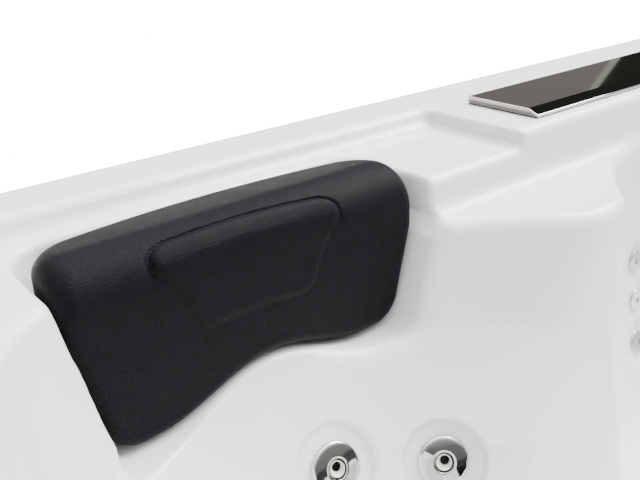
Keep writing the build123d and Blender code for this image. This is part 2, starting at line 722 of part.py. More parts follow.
def waterfall_strip():
    body = block(-STRIP_HALF_L, STRIP_HALF_L, STRIP_FRONT_Y, STRIP_BACK_Y, RIM_Z, RIM_Z + STRIP_T)
    front_top = body.edges().filter_by(Axis.X).sort_by(Axis.Y)[:2].sort_by(Axis.Z)[-1]
    body = chamfer(front_top, STRIP_BEVEL)
    hollow = block(-FALL_SLOT_HALF_L - 10, FALL_SLOT_HALF_L + 10, STRIP_FRONT_Y + 10, STRIP_BACK_Y - 10,
                   RIM_Z - 1, RIM_Z + STRIP_T - STRIP_SKIN)
    mouth = block(-FALL_SLOT_HALF_L, FALL_SLOT_HALF_L, STRIP_FRONT_Y - 1, STRIP_FRONT_Y + 11, RIM_Z - 1, RIM_Z + 4)
    return body - [hollow, mouth]


def waterfall_body():
    half = FALL_SLOT_HALF_L + FALL_BOX_WALL + 6
    y0, y1 = FALL_Y - FALL_SLOT_W / 2 - 10, FALL_Y + FALL_SLOT_W / 2 + 10
    body = block(-half, half, y0, y1, RIM_UNDER - FALL_BOX_DEPTH, RIM_UNDER)
    cavity = block(-half + FALL_BOX_WALL, half - FALL_BOX_WALL, y0 + FALL_BOX_WALL, y1 - FALL_BOX_WALL,
                   RIM_UNDER - FALL_BOX_DEPTH + FALL_BOX_WALL, RIM_UNDER + 1)
    return body - cavity


def pillow(sx, sy):
    shelf = level(PILLOW_SHELF_DEPTH) + PILLOW_REST_GAP
    top = level(PILLOW_TOP_DEPTH)
    upper = block(PILLOW_X - PILLOW_HALF_W, PILLOW_X + PILLOW_HALF_W, PILLOW_FRONT_Y, PILLOW_BACK_Y,
                  shelf, top)
    upper = fillet(upper.edges().filter_by(Axis.Z).sort_by(Axis.Y)[-2:], PILLOW_BACK_R)
    upper = fillet(upper.edges().group_by(Axis.Z)[-1], PILLOW_EDGE_R)
    apron = pillow_prism(0, PILLOW_FRONT_Y, PILLOW_FRONT_Y + PILLOW_APRON, shelf + 1)
    corners = apron.edges().filter_by(Axis.Y).group_by(Axis.Z)[0]
    apron = fillet(corners, PILLOW_TOE_R)
    body = upper + apron
    for x in (-PEG_SPREAD, PEG_SPREAD):
        body -= rod(Pos(PILLOW_X + x, PEG_Y, level(PILLOW_SHELF_DEPTH)), PEG_R + PEG_CLEARANCE, 0, PEG_H + 1)
    return flip(body, sx, sy)


def pillow_pegs():
    pegs = []
    for sx in (1, -1):
        for sy in (1, -1):
            for x in (-PEG_SPREAD, PEG_SPREAD):
                pegs.append(flip(rod(Pos(PILLOW_X + x, PEG_Y, level(PILLOW_SHELF_DEPTH)), PEG_R, 0, PEG_H), sx, sy))
    return Compound(children=pegs)


def large_jet_body(place):
    floor = -JET_DIMPLE_DEPTH
    body = rod(place, JET_BODY_R, -JET_BODY_LENGTH, floor)
    flange = rod(place, JET_FLANGE_R, floor, floor + JET_FLANGE_T)
    bore = rod(place, JET_BORE_R, -JET_BODY_LENGTH + JET_END_T, floor + JET_FLANGE_T + 1)
    return body + flange - [bore, rod(place, HOSE_R - HOSE_WALL, -JET_BODY_LENGTH - 1, 0)]


def large_jet_nut(place):
    under = -(JET_DIMPLE_DEPTH + WALL)
    return tube(place, JET_NUT_R, JET_BODY_R + 0.05, under - JET_NUT_T, under)


def large_jet_face(place):
    seat = -JET_DIMPLE_DEPTH + JET_FLANGE_T + JET_FACE_GAP
    front = seat + JET_FACE_T
    disc = rod(place, JET_FACE_R, seat, front)
    disc = fillet(disc.edges().filter_by(GeomType.CIRCLE).sort_by(lambda e: -distance_along(place, e))[0], 2)
    stem = rod(place, JET_BORE_R - JET_STEM_GAP, seat - JET_STEM_LENGTH, seat + 1)
    ball = place * Pos(0, 0, NOZZLE_PIVOT_Z) * Sphere(NOZZLE_BALL_R + NOZZLE_GAP)
    mouth = place * Pos(0, 0, (front - 3) / 2) * Cone(10.4, NOZZLE_MOUTH_R, front + 3)
    back = rod(place, NOZZLE_BACK_R, seat - JET_STEM_LENGTH - 1, NOZZLE_PIVOT_Z)
    return disc + stem - [ball, mouth, back]


def distance_along(place, edge):
    return (edge.center() - place.origin).dot(place.z_dir)


def jet_nozzle(place):
    ball = place * Pos(0, 0, NOZZLE_PIVOT_Z) * Sphere(NOZZLE_BALL_R)
    neck = rod(place, NOZZLE_NECK_R, NOZZLE_PIVOT_Z, NOZZLE_TIP_Z)
    flat = rod(place, NOZZLE_BALL_R + 1, -3, -3 + NOZZLE_BALL_R)
    flat -= rod(place, NOZZLE_NECK_R, -4, NOZZLE_BALL_R)
    return ball + neck - [flat, rod(place, NOZZLE_BORE_R, NOZZLE_PIVOT_Z - 20, NOZZLE_TIP_Z + 1)]


def jet_hose(place):
    start = place.origin - place.z_dir * JET_BODY_LENGTH
    reach = (RING_HALF - start.Y) / -place.z_dir.Y
    knee = start - place.z_dir * reach
    hose = pipe([start, knee, Vector(knee.X, knee.Y, RING_Z)], HOSE_R, HOSE_WALL, HOSE_BEND_R)
    return hose - Pos(knee.X, RING_HALF, RING_Z) * Rot(0, 90, 0) * Cylinder(RING_R, 200)


def large_set(make):
    return Compound(children=[flip(make(place), sx, 1) for place in LARGE_PLACES for sx in (1, -1)])


def small_jet_face(place):
    seat = -SMALL_DIMPLE_DEPTH + SMALL_FLANGE_T
    disc = rod(place, SMALL_FACE_R, seat, seat + SMALL_FACE_T)
    disc = fillet(disc.edges().filter_by(GeomType.CIRCLE).sort_by(lambda e: -distance_along(place, e))[0], 1.5)
    return disc - rod(place, SMALL_BORE_R, seat - 1, seat + SMALL_FACE_T + 1)


def small_jet_body(place):
    floor = -SMALL_DIMPLE_DEPTH
    length = (RING_HALF - place.origin.Y) / -place.z_dir.Y
    body = rod(place, SMALL_BODY_R, -length, floor)
    flange = rod(place, SMALL_FLANGE_R, floor, floor + SMALL_FLANGE_T)
    bore = rod(place, SMALL_BORE_R, -length - 1, floor + SMALL_FLANGE_T + 1)
    column = Pos(place.origin.X, RING_HALF, RING_Z) * Cylinder(MANIFOLD_R, 1200)
    return body + flange - [bore, column]


def small_set(make):
    return Compound(children=[flip(make(place), sx, sy) for place, sx, sy in SMALL_SETS])


def jet_manifolds():
    top = level(MANIFOLD_TOP_DEPTH)
    columns = [(x, 1, sy) for sy in (1, -1) for x in CENTRE_COLUMNS]
    columns += [(x, sx, -1) for sx in (1, -1) for x in CORNER_COLUMNS]
    made = []
    for x, sx, sy in columns:
        foot = Pos(x, RING_HALF, RING_Z)
        body = tube(foot, MANIFOLD_R, MANIFOLD_R - RING_WALL, 0, top - RING_Z) + rod(foot, MANIFOLD_R, top - RING_Z - 4,
                                                                                   top - RING_Z)
        body -= Pos(x, RING_HALF, RING_Z) * Rot(0, 90, 0) * Cylinder(RING_R, 200)
        made.append(flip(body, sx, sy))
    return Compound(children=made)


def water_ring():
    path = FilletPolyline(
        (0, RING_HALF, RING_Z), (RING_HALF, RING_HALF, RING_Z), (RING_HALF, -RING_HALF, RING_Z),
        (-RING_HALF, -RING_HALF, RING_Z), (-RING_HALF, RING_HALF, RING_Z),
        (-RING_R, RING_HALF, RING_Z), radius=RING_BEND_R)
    start = Plane(origin=path @ 0, z_dir=path % 0)
    ring = sweep(start * (Circle(RING_R) - Circle(RING_R - RING_WALL)), path=path)
    joiner = Pos(-RING_R / 2, RING_HALF, RING_Z) * Rot(0, 90, 0) * (
        Cylinder(RING_R + RING_WALL, RING_R * 2) - Cylinder(RING_R - RING_WALL, RING_R * 3))
    return ring + joiner


def ring_clips():
    clips = []
    for turn in (0, 90, 180, 270):
        for x in (-MID_POST_X, MID_POST_X):
            clip = block(x - 15, x + 15, RING_HALF - RING_R - 6, RAIL_OUT - RAIL_T, RING_Z - RING_R - 6,
                         RING_Z + RING_R + 6)
            hole = Pos(x, RING_HALF, RING_Z) * Rot(0, 90, 0) * Cylinder(RING_R, 60)
            clips.append(Rot(0, 0, turn) * (clip - hole))
    return Compound(children=clips)


def base_pan():
    tray = extrude(rounded(CABINET_HALF - 1, CABINET_HALF - 1, CABINET_R - 1, 0), amount=BASE_EDGE_H)
    half = RAIL_OUT + 0.5
    return tray - extrude(rounded(half, half, RAIL_CORNER_R + 0.5, BASE_T), amount=BASE_EDGE_H)


def ring_frame(z0, height, thick):
    inside = RAIL_OUT - thick
    outer = extrude(rounded(RAIL_OUT, RAIL_OUT, RAIL_CORNER_R, z0), amount=height)
    return outer - extrude(rounded(inside, inside, RAIL_CORNER_R - thick, z0), amount=height)


def bottom_frame():
    frame = ring_frame(BASE_T, RAIL_H, RAIL_T)
    beams = [block(x - 20, x + 20, -RAIL_OUT, RAIL_OUT, BASE_T, FRAME_TOP) for x in (-BEAM_X, BEAM_X)]
    return frame + beams


def top_rail():
    return ring_frame(RAIL_BOTTOM, RAIL_H, RAIL_T)


def frame_posts():
    posts = []
    corner = RAIL_OUT - POST_W / 2 - POST_INSET
    for sx in (-1, 1):
        for sy in (-1, 1):
            posts.append(Pos(sx * corner, sy * corner, (FRAME_TOP + RAIL_BOTTOM) / 2)
                         * Box(POST_W, POST_W, RAIL_BOTTOM - FRAME_TOP))
    for turn in (0, 90, 180, 270):
        for x in (-MID_POST_X, MID_POST_X):
            posts.append(Rot(0, 0, turn) * block(x - 20, x + 20, RAIL_OUT - RAIL_T, RAIL_OUT, FRAME_TOP, RAIL_BOTTOM))
    return Compound(children=posts)


def cabinet_panel():
    half = CABINET_HALF - CORNER_COVER_LEG - CORNER_COVER_GAP
    panel = block(-half, half, RAIL_OUT, CABINET_HALF, BASE_EDGE_H, PANEL_TOP)
    count = int((PANEL_TOP - BASE_EDGE_H - GROOVE_PITCH / 2) // GROOVE_PITCH)
    grooves = []
    for i in range(1, count + 1):
        z = BASE_EDGE_H + i * GROOVE_PITCH
        grooves.append(block(-half - 1, half + 1, CABINET_HALF - GROOVE_D, CABINET_HALF + 1, z - GROOVE_W / 2,
                             z + GROOVE_W / 2))
    return panel - [*grooves, *screw_holes()]


def side_panels():
    return Compound(children=[Rot(0, 0, turn) * cabinet_panel() for turn in (0, 90, 270)])


def front_panel():
    drain = Pos(DRAIN_X, -CABINET_HALF, DRAIN_Z) * Rot(90, 0, 0) * Cylinder(DRAIN_R + 1, 4 * PANEL_T)
    return Rot(0, 0, 180) * cabinet_panel() - drain


def corner_covers():
    half = CABINET_HALF
    outer = extrude(rounded(half, half, CABINET_R, BASE_EDGE_H), amount=PANEL_TOP - BASE_EDGE_H)
    inner = extrude(rounded(RAIL_OUT, RAIL_OUT, RAIL_CORNER_R, BASE_EDGE_H), amount=PANEL_TOP - BASE_EDGE_H)
    keep = half - CORNER_COVER_LEG
    covers = []
    for sx in (-1, 1):
        for sy in (-1, 1):
            x0, x1 = sorted((sx * keep, sx * (half + 1)))
            y0, y1 = sorted((sy * keep, sy * (half + 1)))
            covers.append((outer - inner) & block(x0, x1, y0, y1, 0, RIM_Z))
    return Compound(children=[s for c in covers for s in c.solids()])


def screw_places():
    half = CABINET_HALF - CORNER_COVER_LEG - SCREW_SIDE
    places = []
    for turn in (0, 90, 180, 270):
        for x in (-half, half):
            for z in (PANEL_TOP - SCREW_INSET, BASE_EDGE_H + SCREW_INSET):
                places.append(Rot(0, 0, turn) * Pos(x, CABINET_HALF, z) * Rot(-90, 0, 0))
    return places


def panel_screws():
    screws = []
    for place in screw_places():
        screws.append(rod(place, SCREW_HEAD_R, 0, SCREW_HEAD_T) + rod(place, SCREW_R, -SCREW_LENGTH, 0.5))
    return Compound(children=screws)


def screw_holes():
    return [rod(place, SCREW_R + SCREW_GAP, -PANEL_T - 1, 1) for place in screw_places()]


def footwell_supports():
    reach = WELL_HALF - WELL_DRAFT - WELL_CORNER_R
    return Compound(children=[
        block(x - 40, x + 40, -reach, reach, BASE_T, level(WELL_DEPTH) - WALL) for x in (-reach * 0.7, reach * 0.7)])


def suction_covers():
    covers = []
    for place in suction_places():
        dome = rod(place, SUCTION_R, 0, SUCTION_T)
        dome = fillet(dome.edges().filter_by(GeomType.CIRCLE).sort_by(lambda e: -distance_along(place, e))[0], 6)
        tail = rod(place, PIPE_R, -SUCTION_TAIL, 1)
        cuts = [rod(place, PIPE_R - PIPE_WALL, -SUCTION_TAIL - 1, SUCTION_T - 4), rod(place, 44, 3, SUCTION_T - 4)]
        for ring, count in SUCTION_RINGS:
            for i in range(count):
                turn = 2 * math.pi * i / count
                spot = place * Pos(ring * math.cos(turn), ring * math.sin(turn), 0)
                cuts.append(rod(spot, SUCTION_SLOT_R, 4, SUCTION_T + 1))
        covers.append(dome + tail - cuts)
    return Compound(children=covers)


def light_lens():
    place = light_place()
    lens = rod(place, LIGHT_R, 0, LIGHT_T)
    lens = fillet(lens.edges().filter_by(GeomType.CIRCLE).sort_by(lambda e: -distance_along(place, e))[0], 5)
    return lens + rod(place, LIGHT_BODY_R, -LIGHT_BODY_L, 1)


def suction_line(place):
    start = place.origin - place.z_dir * SUCTION_TAIL
    knee = start - place.z_dir * ((start.Y - PUMP_Y) / place.z_dir.Y)
    return start, knee


PUMP_Z = suction_line(suction_places()[0])[1].Z
PUMP_AXIS = Pos(PUMP_X, PUMP_Y, PUMP_Z) * Rot(0, 90, 0)
WET_END = MOTOR_LENGTH + WET_LENGTH
OUTLET_X = PUMP_X + MOTOR_LENGTH + WET_LENGTH / 2
OUTLET_Y = PUMP_Y - WET_R + PIPE_R + SPOUT_WALL


def pump_motor():
    motor = rod(PUMP_AXIS, MOTOR_R, 0, MOTOR_LENGTH)
    return motor - rod(PUMP_AXIS, SHAFT_R + SHAFT_GAP, MOTOR_LENGTH - SHAFT_IN_MOTOR - 2, MOTOR_LENGTH + 1)


def pump_wet_end():
    housing = rod(PUMP_AXIS, WET_R, MOTOR_LENGTH, WET_END)
    outlet = Pos(OUTLET_X, OUTLET_Y, PUMP_Z)
    riser = rod(outlet, PIPE_R + SPOUT_WALL, 0, RISER_TOP)
    eye = rod(PUMP_AXIS, PIPE_R + SPOUT_WALL, WET_END - 1, WET_END + EYE_LENGTH)
    cuts = [
        rod(PUMP_AXIS, WET_R - WET_WALL, MOTOR_LENGTH + WET_WALL, WET_END - WET_WALL),
        rod(PUMP_AXIS, SHAFT_R + SHAFT_GAP, MOTOR_LENGTH - 1, MOTOR_LENGTH + WET_WALL + 1),
        rod(PUMP_AXIS, PIPE_R, WET_END - WET_WALL - 1, WET_END + EYE_LENGTH + 1),
        rod(outlet, PIPE_R, 0, RISER_TOP + 1),
    ]
    return housing + [riser, eye] - cuts


def pump_rotor():
    shaft = rod(PUMP_AXIS, SHAFT_R, MOTOR_LENGTH - SHAFT_IN_MOTOR, WET_END - WET_WALL - 16)
    middle = MOTOR_LENGTH + WET_LENGTH / 2
    return shaft + rod(PUMP_AXIS, IMPELLER_R, middle - IMPELLER_T / 2, middle + IMPELLER_T / 2)


def equipment_stands():
    foot = block(PUMP_X + 20, PUMP_X + MOTOR_LENGTH - 20, PUMP_Y - 80, PUMP_Y + 80, BASE_T, BASE_T + PLATE_T)
    saddles = [
        block(PUMP_X + x, PUMP_X + x + 24, PUMP_Y - 60, PUMP_Y + 60, BASE_T, PUMP_Z) for x in (50, MOTOR_LENGTH - 74)]
    pump_stand = foot + saddles - rod(PUMP_AXIS, MOTOR_R, -1, MOTOR_LENGTH + 1)
    heater = Pos(0, HEATER_Y, HEATER_Z) * Rot(0, 90, 0) * Cylinder(HEATER_R, HEATER_LENGTH)
    stands = [pump_stand]
    for x in (-HEATER_LENGTH / 4, HEATER_LENGTH / 4):
        stand = block(x - 12, x + 12, HEATER_Y - 25, HEATER_Y + 25, BASE_T, HEATER_Z)
        stands.append(stand - heater)
    return Compound(children=stands)


def heater_tube():
    middle = Pos(0, HEATER_Y, HEATER_Z) * Rot(0, 90, 0)
    half = HEATER_LENGTH / 2
    body = tube(middle, HEATER_R, HEATER_R - 2, -half, half)
    unions = [tube(middle, HEATER_R + HEATER_UNION, PIPE_R, s * half - 14, s * half + 14) for s in (-1, 1)]
    return body + unions - rod(middle, HEATER_R - 2, -half + 14, half - 14)


def along_x(y, z, radius, x0, x1):
    return rod(Pos(0, y, z) * Rot(0, 90, 0), radius, x0, x1)


def pump_pipes():
    first, second = suction_places()
    start, knee = suction_line(first)
    eye = Vector(PUMP_X + WET_END + EYE_LENGTH, PUMP_Y, PUMP_Z)
    suction = pipe([start, knee, eye], PIPE_R, PIPE_WALL, PIPE_BEND_R)
    other, far = suction_line(second)
    share = (other.Y - CROSS_Y) / (other.Y - far.Y)
    turn = other + (far - other) * share
    join = Vector(first.origin.X, turn.Y, turn.Z)
    line = rod(Plane(origin=start, z_dir=knee - start), PIPE_R, 0, 300)
    cross = pipe([other, turn, join], PIPE_R, PIPE_WALL, PIPE_BEND_R) - line
    riser = Vector(OUTLET_X, OUTLET_Y, PUMP_Z + RISER_TOP)
    lift = Vector(OUTLET_X, OUTLET_Y, HEATER_Z)
    back = Vector(OUTLET_X, -RING_HALF, HEATER_Z)
    up = Vector(OUTLET_X, -RING_HALF, RING_Z)
    ring = along_x(-RING_HALF, RING_Z, RING_R, -500, 500)
    pressure = pipe([riser, lift, back, up], PIPE_R, PIPE_WALL, PIPE_BEND_R) - ring
    half = HEATER_LENGTH / 2 + 14
    run = Pos(OUTLET_X, 0, HEATER_Z) * Rot(90, 0, 0) * Cylinder(PIPE_R, 4 * RING_HALF)
    feed = tube(Pos(0, HEATER_Y, HEATER_Z) * Rot(0, 90, 0), PIPE_R, PIPE_R - PIPE_WALL, OUTLET_X, -half) - run
    warm = pipe([Vector(half, HEATER_Y, HEATER_Z), Vector(HEATER_END_X, HEATER_Y, HEATER_Z),
                 Vector(HEATER_END_X, -RING_HALF, RING_Z)], PIPE_R, PIPE_WALL, PIPE_BEND_R) - ring
    return Compound(children=[suction, cross, pressure, feed, warm])


def control_box():
    box = block(BOX_X - BOX_W / 2, BOX_X + BOX_W / 2, BOX_Y - BOX_D / 2, BOX_Y + BOX_D / 2, BASE_T, BASE_T + BOX_H)
    box = fillet(box.edges().filter_by(Axis.Z), 8)
    inside = block(BOX_X - BOX_W / 2 + BOX_WALL, BOX_X + BOX_W / 2 - BOX_WALL, BOX_Y - BOX_D / 2 + BOX_WALL,
                   BOX_Y + BOX_D / 2 - BOX_WALL, BASE_T + BOX_WALL, BASE_T + BOX_H - BOX_WALL)
    return box - inside


def drain_axis():
    return Pos(DRAIN_X, -CABINET_HALF, DRAIN_Z) * Rot(90, 0, 0)


def drain_valve():
    axis = drain_axis()
    body = rod(axis, DRAIN_R, -DRAIN_LENGTH, 0) + rod(axis, DRAIN_FLANGE_R, 0, DRAIN_FLANGE_T)
    return body - rod(axis, DRAIN_BORE_R + STEM_GAP, -DRAIN_LENGTH - 1, DRAIN_FLANGE_T + 1)


def drain_cap():
    axis = drain_axis()
    under = DRAIN_FLANGE_T + KNOB_LIFT
    front = under + DRAIN_CAP_T
    lever = axis * Pos(0, 0, front) * Box(2 * DRAIN_CAP_R - 8, 8, 2 * DRAIN_LEVER_T)
    return rod(axis, DRAIN_CAP_R, under, front) + [lever, rod(axis, DRAIN_BORE_R, -DRAIN_LENGTH / 3, under + 1)]


def all_parts():
    parts = {
        "acrylic_shell": acrylic_shell(),
        "base_pan": base_pan(),
        "bottom_frame": bottom_frame(),
        "frame_posts": frame_posts(),
        "top_rail": top_rail(),
        "front_panel": front_panel(),
        "side_panels": side_panels(),
        "corner_covers": corner_covers(),
        "panel_screws": panel_screws(),
        "footwell_supports": footwell_supports(),
        "water_ring": water_ring(),
        "ring_clips": ring_clips(),
        "jet_bodies": large_set(large_jet_body),
        "jet_nuts": large_set(large_jet_nut),
        "jet_hoses": large_set(jet_hose),
        "small_jet_faces": small_set(small_jet_face),
        "small_jet_bodies": small_set(small_jet_body),
        "jet_manifolds": jet_manifolds(),
        "waterfall_strip": waterfall_strip(),
        "waterfall_body": waterfall_body(),
        "pillow_pegs": pillow_pegs(),
        "filter_canister": filter_canister(),
        "filter_lid": filter_lid(),
        "filter_cartridge": filter_cartridge(),
        "skimmer_throat": skimmer_throat(),
        "weir_flap": weir_flap(),
        "diverter_valve_bodies": diverter_valve_bodies(),
        "diverter_knob_front": diverter_knob(DIVERTER_YS[0]),
        "diverter_knob_back": diverter_knob(DIVERTER_YS[1]),
        "air_valve_bodies": air_valve_bodies(),
        "air_knob_front": air_knob(AIR_YS[0]),
        "air_knob_back": air_knob(AIR_YS[1]),
        "topside_panel": topside_panel(),
        "suction_covers": suction_covers(),
        "light_lens": light_lens(),
        "pump_motor": pump_motor(),
        "pump_wet_end": pump_wet_end(),
        "pump_rotor": pump_rotor(),
        "equipment_stands": equipment_stands(),
        "heater_tube": heater_tube(),
        "pump_pipes": pump_pipes(),
        "control_box": control_box(),
        "drain_valve": drain_valve(),
        "drain_cap": drain_cap(),
    }
    for side, sx in (("left", 1), ("right", -1)):
        parts[f"pillow_back_{side}"] = pillow(sx, 1)
        parts[f"pillow_front_{side}"] = pillow(sx, -1)
        for where, place in zip(("outer", "inner"), LARGE_PLACES):
            parts[f"jet_face_{side}_{where}"] = flip(large_jet_face(place), sx, 1)
            parts[f"jet_nozzle_{side}_{where}"] = flip(jet_nozzle(place), sx, 1)
    for name, place in zip(("jets", "light", "heat"), button_places()):
        parts[f"button_{name}"] = button(place)
    return parts


if __name__ == "__main__":
    os.makedirs("parts", exist_ok=True)
    for name, shape in all_parts().items():
        export_step(shape, f"parts/{name}.step")
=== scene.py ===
import bpy
import bmesh
import json
import math
import numpy as np
import openvdb as vdb
from mathutils import Matrix, Vector


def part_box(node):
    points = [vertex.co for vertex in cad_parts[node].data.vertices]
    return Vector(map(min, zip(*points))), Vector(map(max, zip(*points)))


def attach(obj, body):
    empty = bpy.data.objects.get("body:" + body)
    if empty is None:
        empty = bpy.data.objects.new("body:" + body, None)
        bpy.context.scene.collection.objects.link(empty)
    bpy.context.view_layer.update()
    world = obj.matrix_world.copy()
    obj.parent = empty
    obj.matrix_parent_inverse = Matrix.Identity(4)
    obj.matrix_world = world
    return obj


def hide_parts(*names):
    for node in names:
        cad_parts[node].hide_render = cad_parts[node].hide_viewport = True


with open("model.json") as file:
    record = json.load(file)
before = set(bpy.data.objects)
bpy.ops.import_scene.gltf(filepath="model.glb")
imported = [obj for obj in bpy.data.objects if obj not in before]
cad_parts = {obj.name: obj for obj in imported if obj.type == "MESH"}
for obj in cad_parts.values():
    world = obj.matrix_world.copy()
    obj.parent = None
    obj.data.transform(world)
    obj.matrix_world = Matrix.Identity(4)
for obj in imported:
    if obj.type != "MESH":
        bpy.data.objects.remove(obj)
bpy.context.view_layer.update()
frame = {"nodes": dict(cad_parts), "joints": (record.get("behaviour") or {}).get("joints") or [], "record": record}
MM = 0.001

# Sizes in millimetres; h is the depth below the rim's top, u and v the distances from the middle planes
RIM_Z = 900.0
HALF = 1100.0
RIM_R = 150.0
LIP_DROP = 40.0
LIP_WALL = 5.5
LIP_RETURN = 34.0
DECK = 20.0
DECK_HALF = 1024.0
DECK_R = 110.0
DECK_DRAFT = 0.55
BLOCK_HALF = 333.0
BASIN_HALF = 875.0
BASIN_R = 70.0
BASIN_DRAFT = 7 / 60
LEDGE = 60.0
SEAT_H = 480.0
CENTRE_SEAT_H = 462.0
WELL_H = 780.0
WELL_HALF = 350.0
SEAT_X = 681.0
PILLOW_X = 686.0
PILLOW_FRONT = 878.0
NOTCH_BACK = 997.0
NOTCH_H = 75.0
MOUTH_H = 160.0
MOUTH_HALF_W, MOUTH_HALF_H = 68.0, 71.0
DUCT_HALF_W, DUCT_HALF_H = 54.5, 59.5
FILTER_X = 955.0
FILTER_HOLE_R = 72.0
FILTER_HOLE_H = 356.0
JET_HOLE_R = 17.0
JET_HOLE_DEEP = 24.0
DIMPLE_R, DIMPLE_DEEP, DIMPLE_EDGE = 43.0, 4.0, 5.0
FLAT_R, FLAT_FADE = 24.0, 16.0
STEP = 0.3


def join(a, b, r):
    """Both spaces together, with a fillet of radius r where they meet."""
    return np.maximum(r, np.minimum(a, b)) - np.hypot(np.maximum(r - a, 0), np.maximum(r - b, 0))


def meet(a, b, r):
    """The space inside both, with an edge rounded to radius r."""
    return np.minimum(-r, np.maximum(a, b)) + np.hypot(np.maximum(r + a, 0), np.maximum(r + b, 0))


def rbox(u, v, cu, cv, hu, hv, r):
    """Distance from a rectangle round (cu, cv) with half sides hu and hv and corner radius r."""
    qu = np.abs(u - cu) - hu + r
    qv = np.abs(v - cv) - hv + r
    return np.hypot(np.maximum(qu, 0), np.maximum(qv, 0)) + np.minimum(np.maximum(qu, qv), 0) - r


def along(h, *rows):
    """A value that changes with h, from rows of (h, value)."""
    return np.interp(h, [r[0] for r in rows], [r[1] for r in rows])


def pillow_low(s):
    """Depth of the pillow's lower edge at the distance s from its middle."""
    t = np.clip(np.abs(s) / 122.0, 0, 1)
    return 146.0 + 29.0 * (0.5 - 0.5 * np.cos(math.pi * t)) + 0.045 * s


def pillow_half(h):
    return 188.5 - 0.25 * np.clip(h - 66.0, 0, 200)


def notch_half(s, h):
    far = along(h, (20, 194), (40, 189.5), (77, 184), (126, 176), (150, 170))
    near = along(h, (0, 204), (60, 203), (78, 191), (150, 168))
    return np.where(s > 0, far, near)


def corner_seat(u, v, h):
    """The hollow of a corner seat: a disc at its back, its outer wall, the flank to the nose, its front."""
    peak = along(h, (60, 874), (165, 876), (262, 826), (SEAT_H, 728))
    radius = along(h, (60, 620), (165, 380), (262, 232), (SEAT_H, 226))
    left = along(h, (60, 868), (165, 866), (262, 861), (SEAT_H, 849))
    disc = np.hypot(u - SEAT_X, np.maximum(v - (peak - radius), 0)) - radius
    disc = np.maximum(disc, v - peak)
    fu = along(h, (60, 461), (165, 474), (262, 494), (SEAT_H, 515))
    fv = along(h, (60, 868), (165, 822), (262, 748), (SEAT_H, 655))
    flank = (fu - u) * 0.76 + (v - fv) * 0.65
    inner = 250.0 - v + 0.04 * h
    d = meet(disc, u - left, 60)
    d = meet(d, flank, 34)
    return meet(d, inner, 50)


def arm_pocket(u, v, h):
    """The pocket for an arm between a corner seat and the side wall."""
    left = along(h, (0, 988), (60, 975), (165, 955), (262, 925), (SEAT_H, 862))
    back = along(h, (0, 897), (60, 889), (165, 877), (262, 826), (SEAT_H, 728))
    turn = along(h, (0, 705), (60, 700), (165, 670), (262, 620), (SEAT_H, 500))
    radius = along(h, (0, 100), (60, 103), (165, 112), (262, 150), (SEAT_H, 190))
    d = meet(v - back, 0.951 * (u - left) + 0.309 * (v - turn), radius)
    d = meet(d, u - left, 30)
    d = meet(d, 0.958 * (u - left) - 0.29 * (v - turn + 125), 30)
    return meet(meet(d, 350 - v, 60), 640 - u, 50)


def centre_seat(u, v, h):
    """The hollow of the middle seat on each side."""
    flat = along(h, (60, 868), (242, 863), (364, 843), (460, 806))
    lift = along(h, (60, 19), (242, 19), (460, 22))
    radius = 397
    disc = np.hypot(u, v - (flat + lift - radius)) - radius
    return meet(disc, v - flat, 40)


def rim_air(u, v, h):
    """The shallow deck recess between the four blocks, and the basin's upper part down to the ledge."""
    deck = meet(rbox(u, v, 0, 0, DECK_HALF, DECK_HALF, DECK_R) + DECK_DRAFT * h,
                meet(BLOCK_HALF - u, BLOCK_HALF - v, 16), 14)
    d = join(h, meet(deck, h - DECK, 8), 7)
    basin = rbox(u, v, 0, 0, BASIN_HALF, BASIN_HALF, BASIN_R) + h * BASIN_DRAFT
    return join(d, meet(basin, h - LEDGE, 16), 11)


def pillow_notch(d, u, v, h):
    """Cuts the pillow's recess, from the deck down to the apron under its lower edge."""
    s = u - PILLOW_X
    edge = np.abs(s) - notch_half(s, h)
    side = meet(meet(edge, v - NOTCH_BACK, 42), 203 - v, 20)
    d = join(d, meet(side, h - NOTCH_H, 8), 8)
    apron = meet(edge, h - pillow_low(s) - 4, 24)
    return join(d, meet(meet(apron, v - 915, 8), 700 - v, 4), 4)


def seat_air(d, u, v, h):
    """Cuts the seats, the arm pockets and the footwell."""
    void = rbox(u, v, 0, 0, 757, 757, 150) + (h - LEDGE) * 0.152
    void = meet(void, h - SEAT_H, 46)
    seat = meet(corner_seat(u, v, h), h - SEAT_H, 60)
    middle = meet(centre_seat(u, v, h), h - CENTRE_SEAT_H, 46)
    low = join(join(void, seat, 26), middle, 20)
    d = join(d, np.maximum(low, 40 - h), 14)
    deep = np.clip((h - 50) / 40, 0, 1)
    edge = 9 * (1 - deep) + deep * (16 - 13 * np.clip((v - 560) / 120, 0, 1))
    d = join(d, meet(meet(arm_pocket(u, v, h), h - SEAT_H, 60), -h, 2), edge)
    well = rbox(u, v, 0, 0, WELL_HALF, WELL_HALF, 120) + (h - SEAT_H) * 20 / 300
    return join(d, np.maximum(meet(well, h - WELL_H, 36), 400 - h), 30)


def skimmer_air(d, x, y, h):
    """Cuts the skimmer's mouth, its duct and the hole for the filter."""
    mouth = np.maximum(np.maximum(np.abs(y) - MOUTH_HALF_W, np.abs(h - MOUTH_H) - MOUTH_HALF_H),
                       np.maximum(x - 740, 640 - x))
    d = join(d, mouth, 2)
    duct = np.maximum(np.maximum(np.abs(y) - DUCT_HALF_W, np.abs(h - MOUTH_H) - DUCT_HALF_H),
                      np.maximum(x - FILTER_X, 700 - x))
    d = np.minimum(d, duct)
    return np.minimum(d, np.maximum(np.hypot(x - FILTER_X, y) - FILTER_HOLE_R, h - FILTER_HOLE_H))


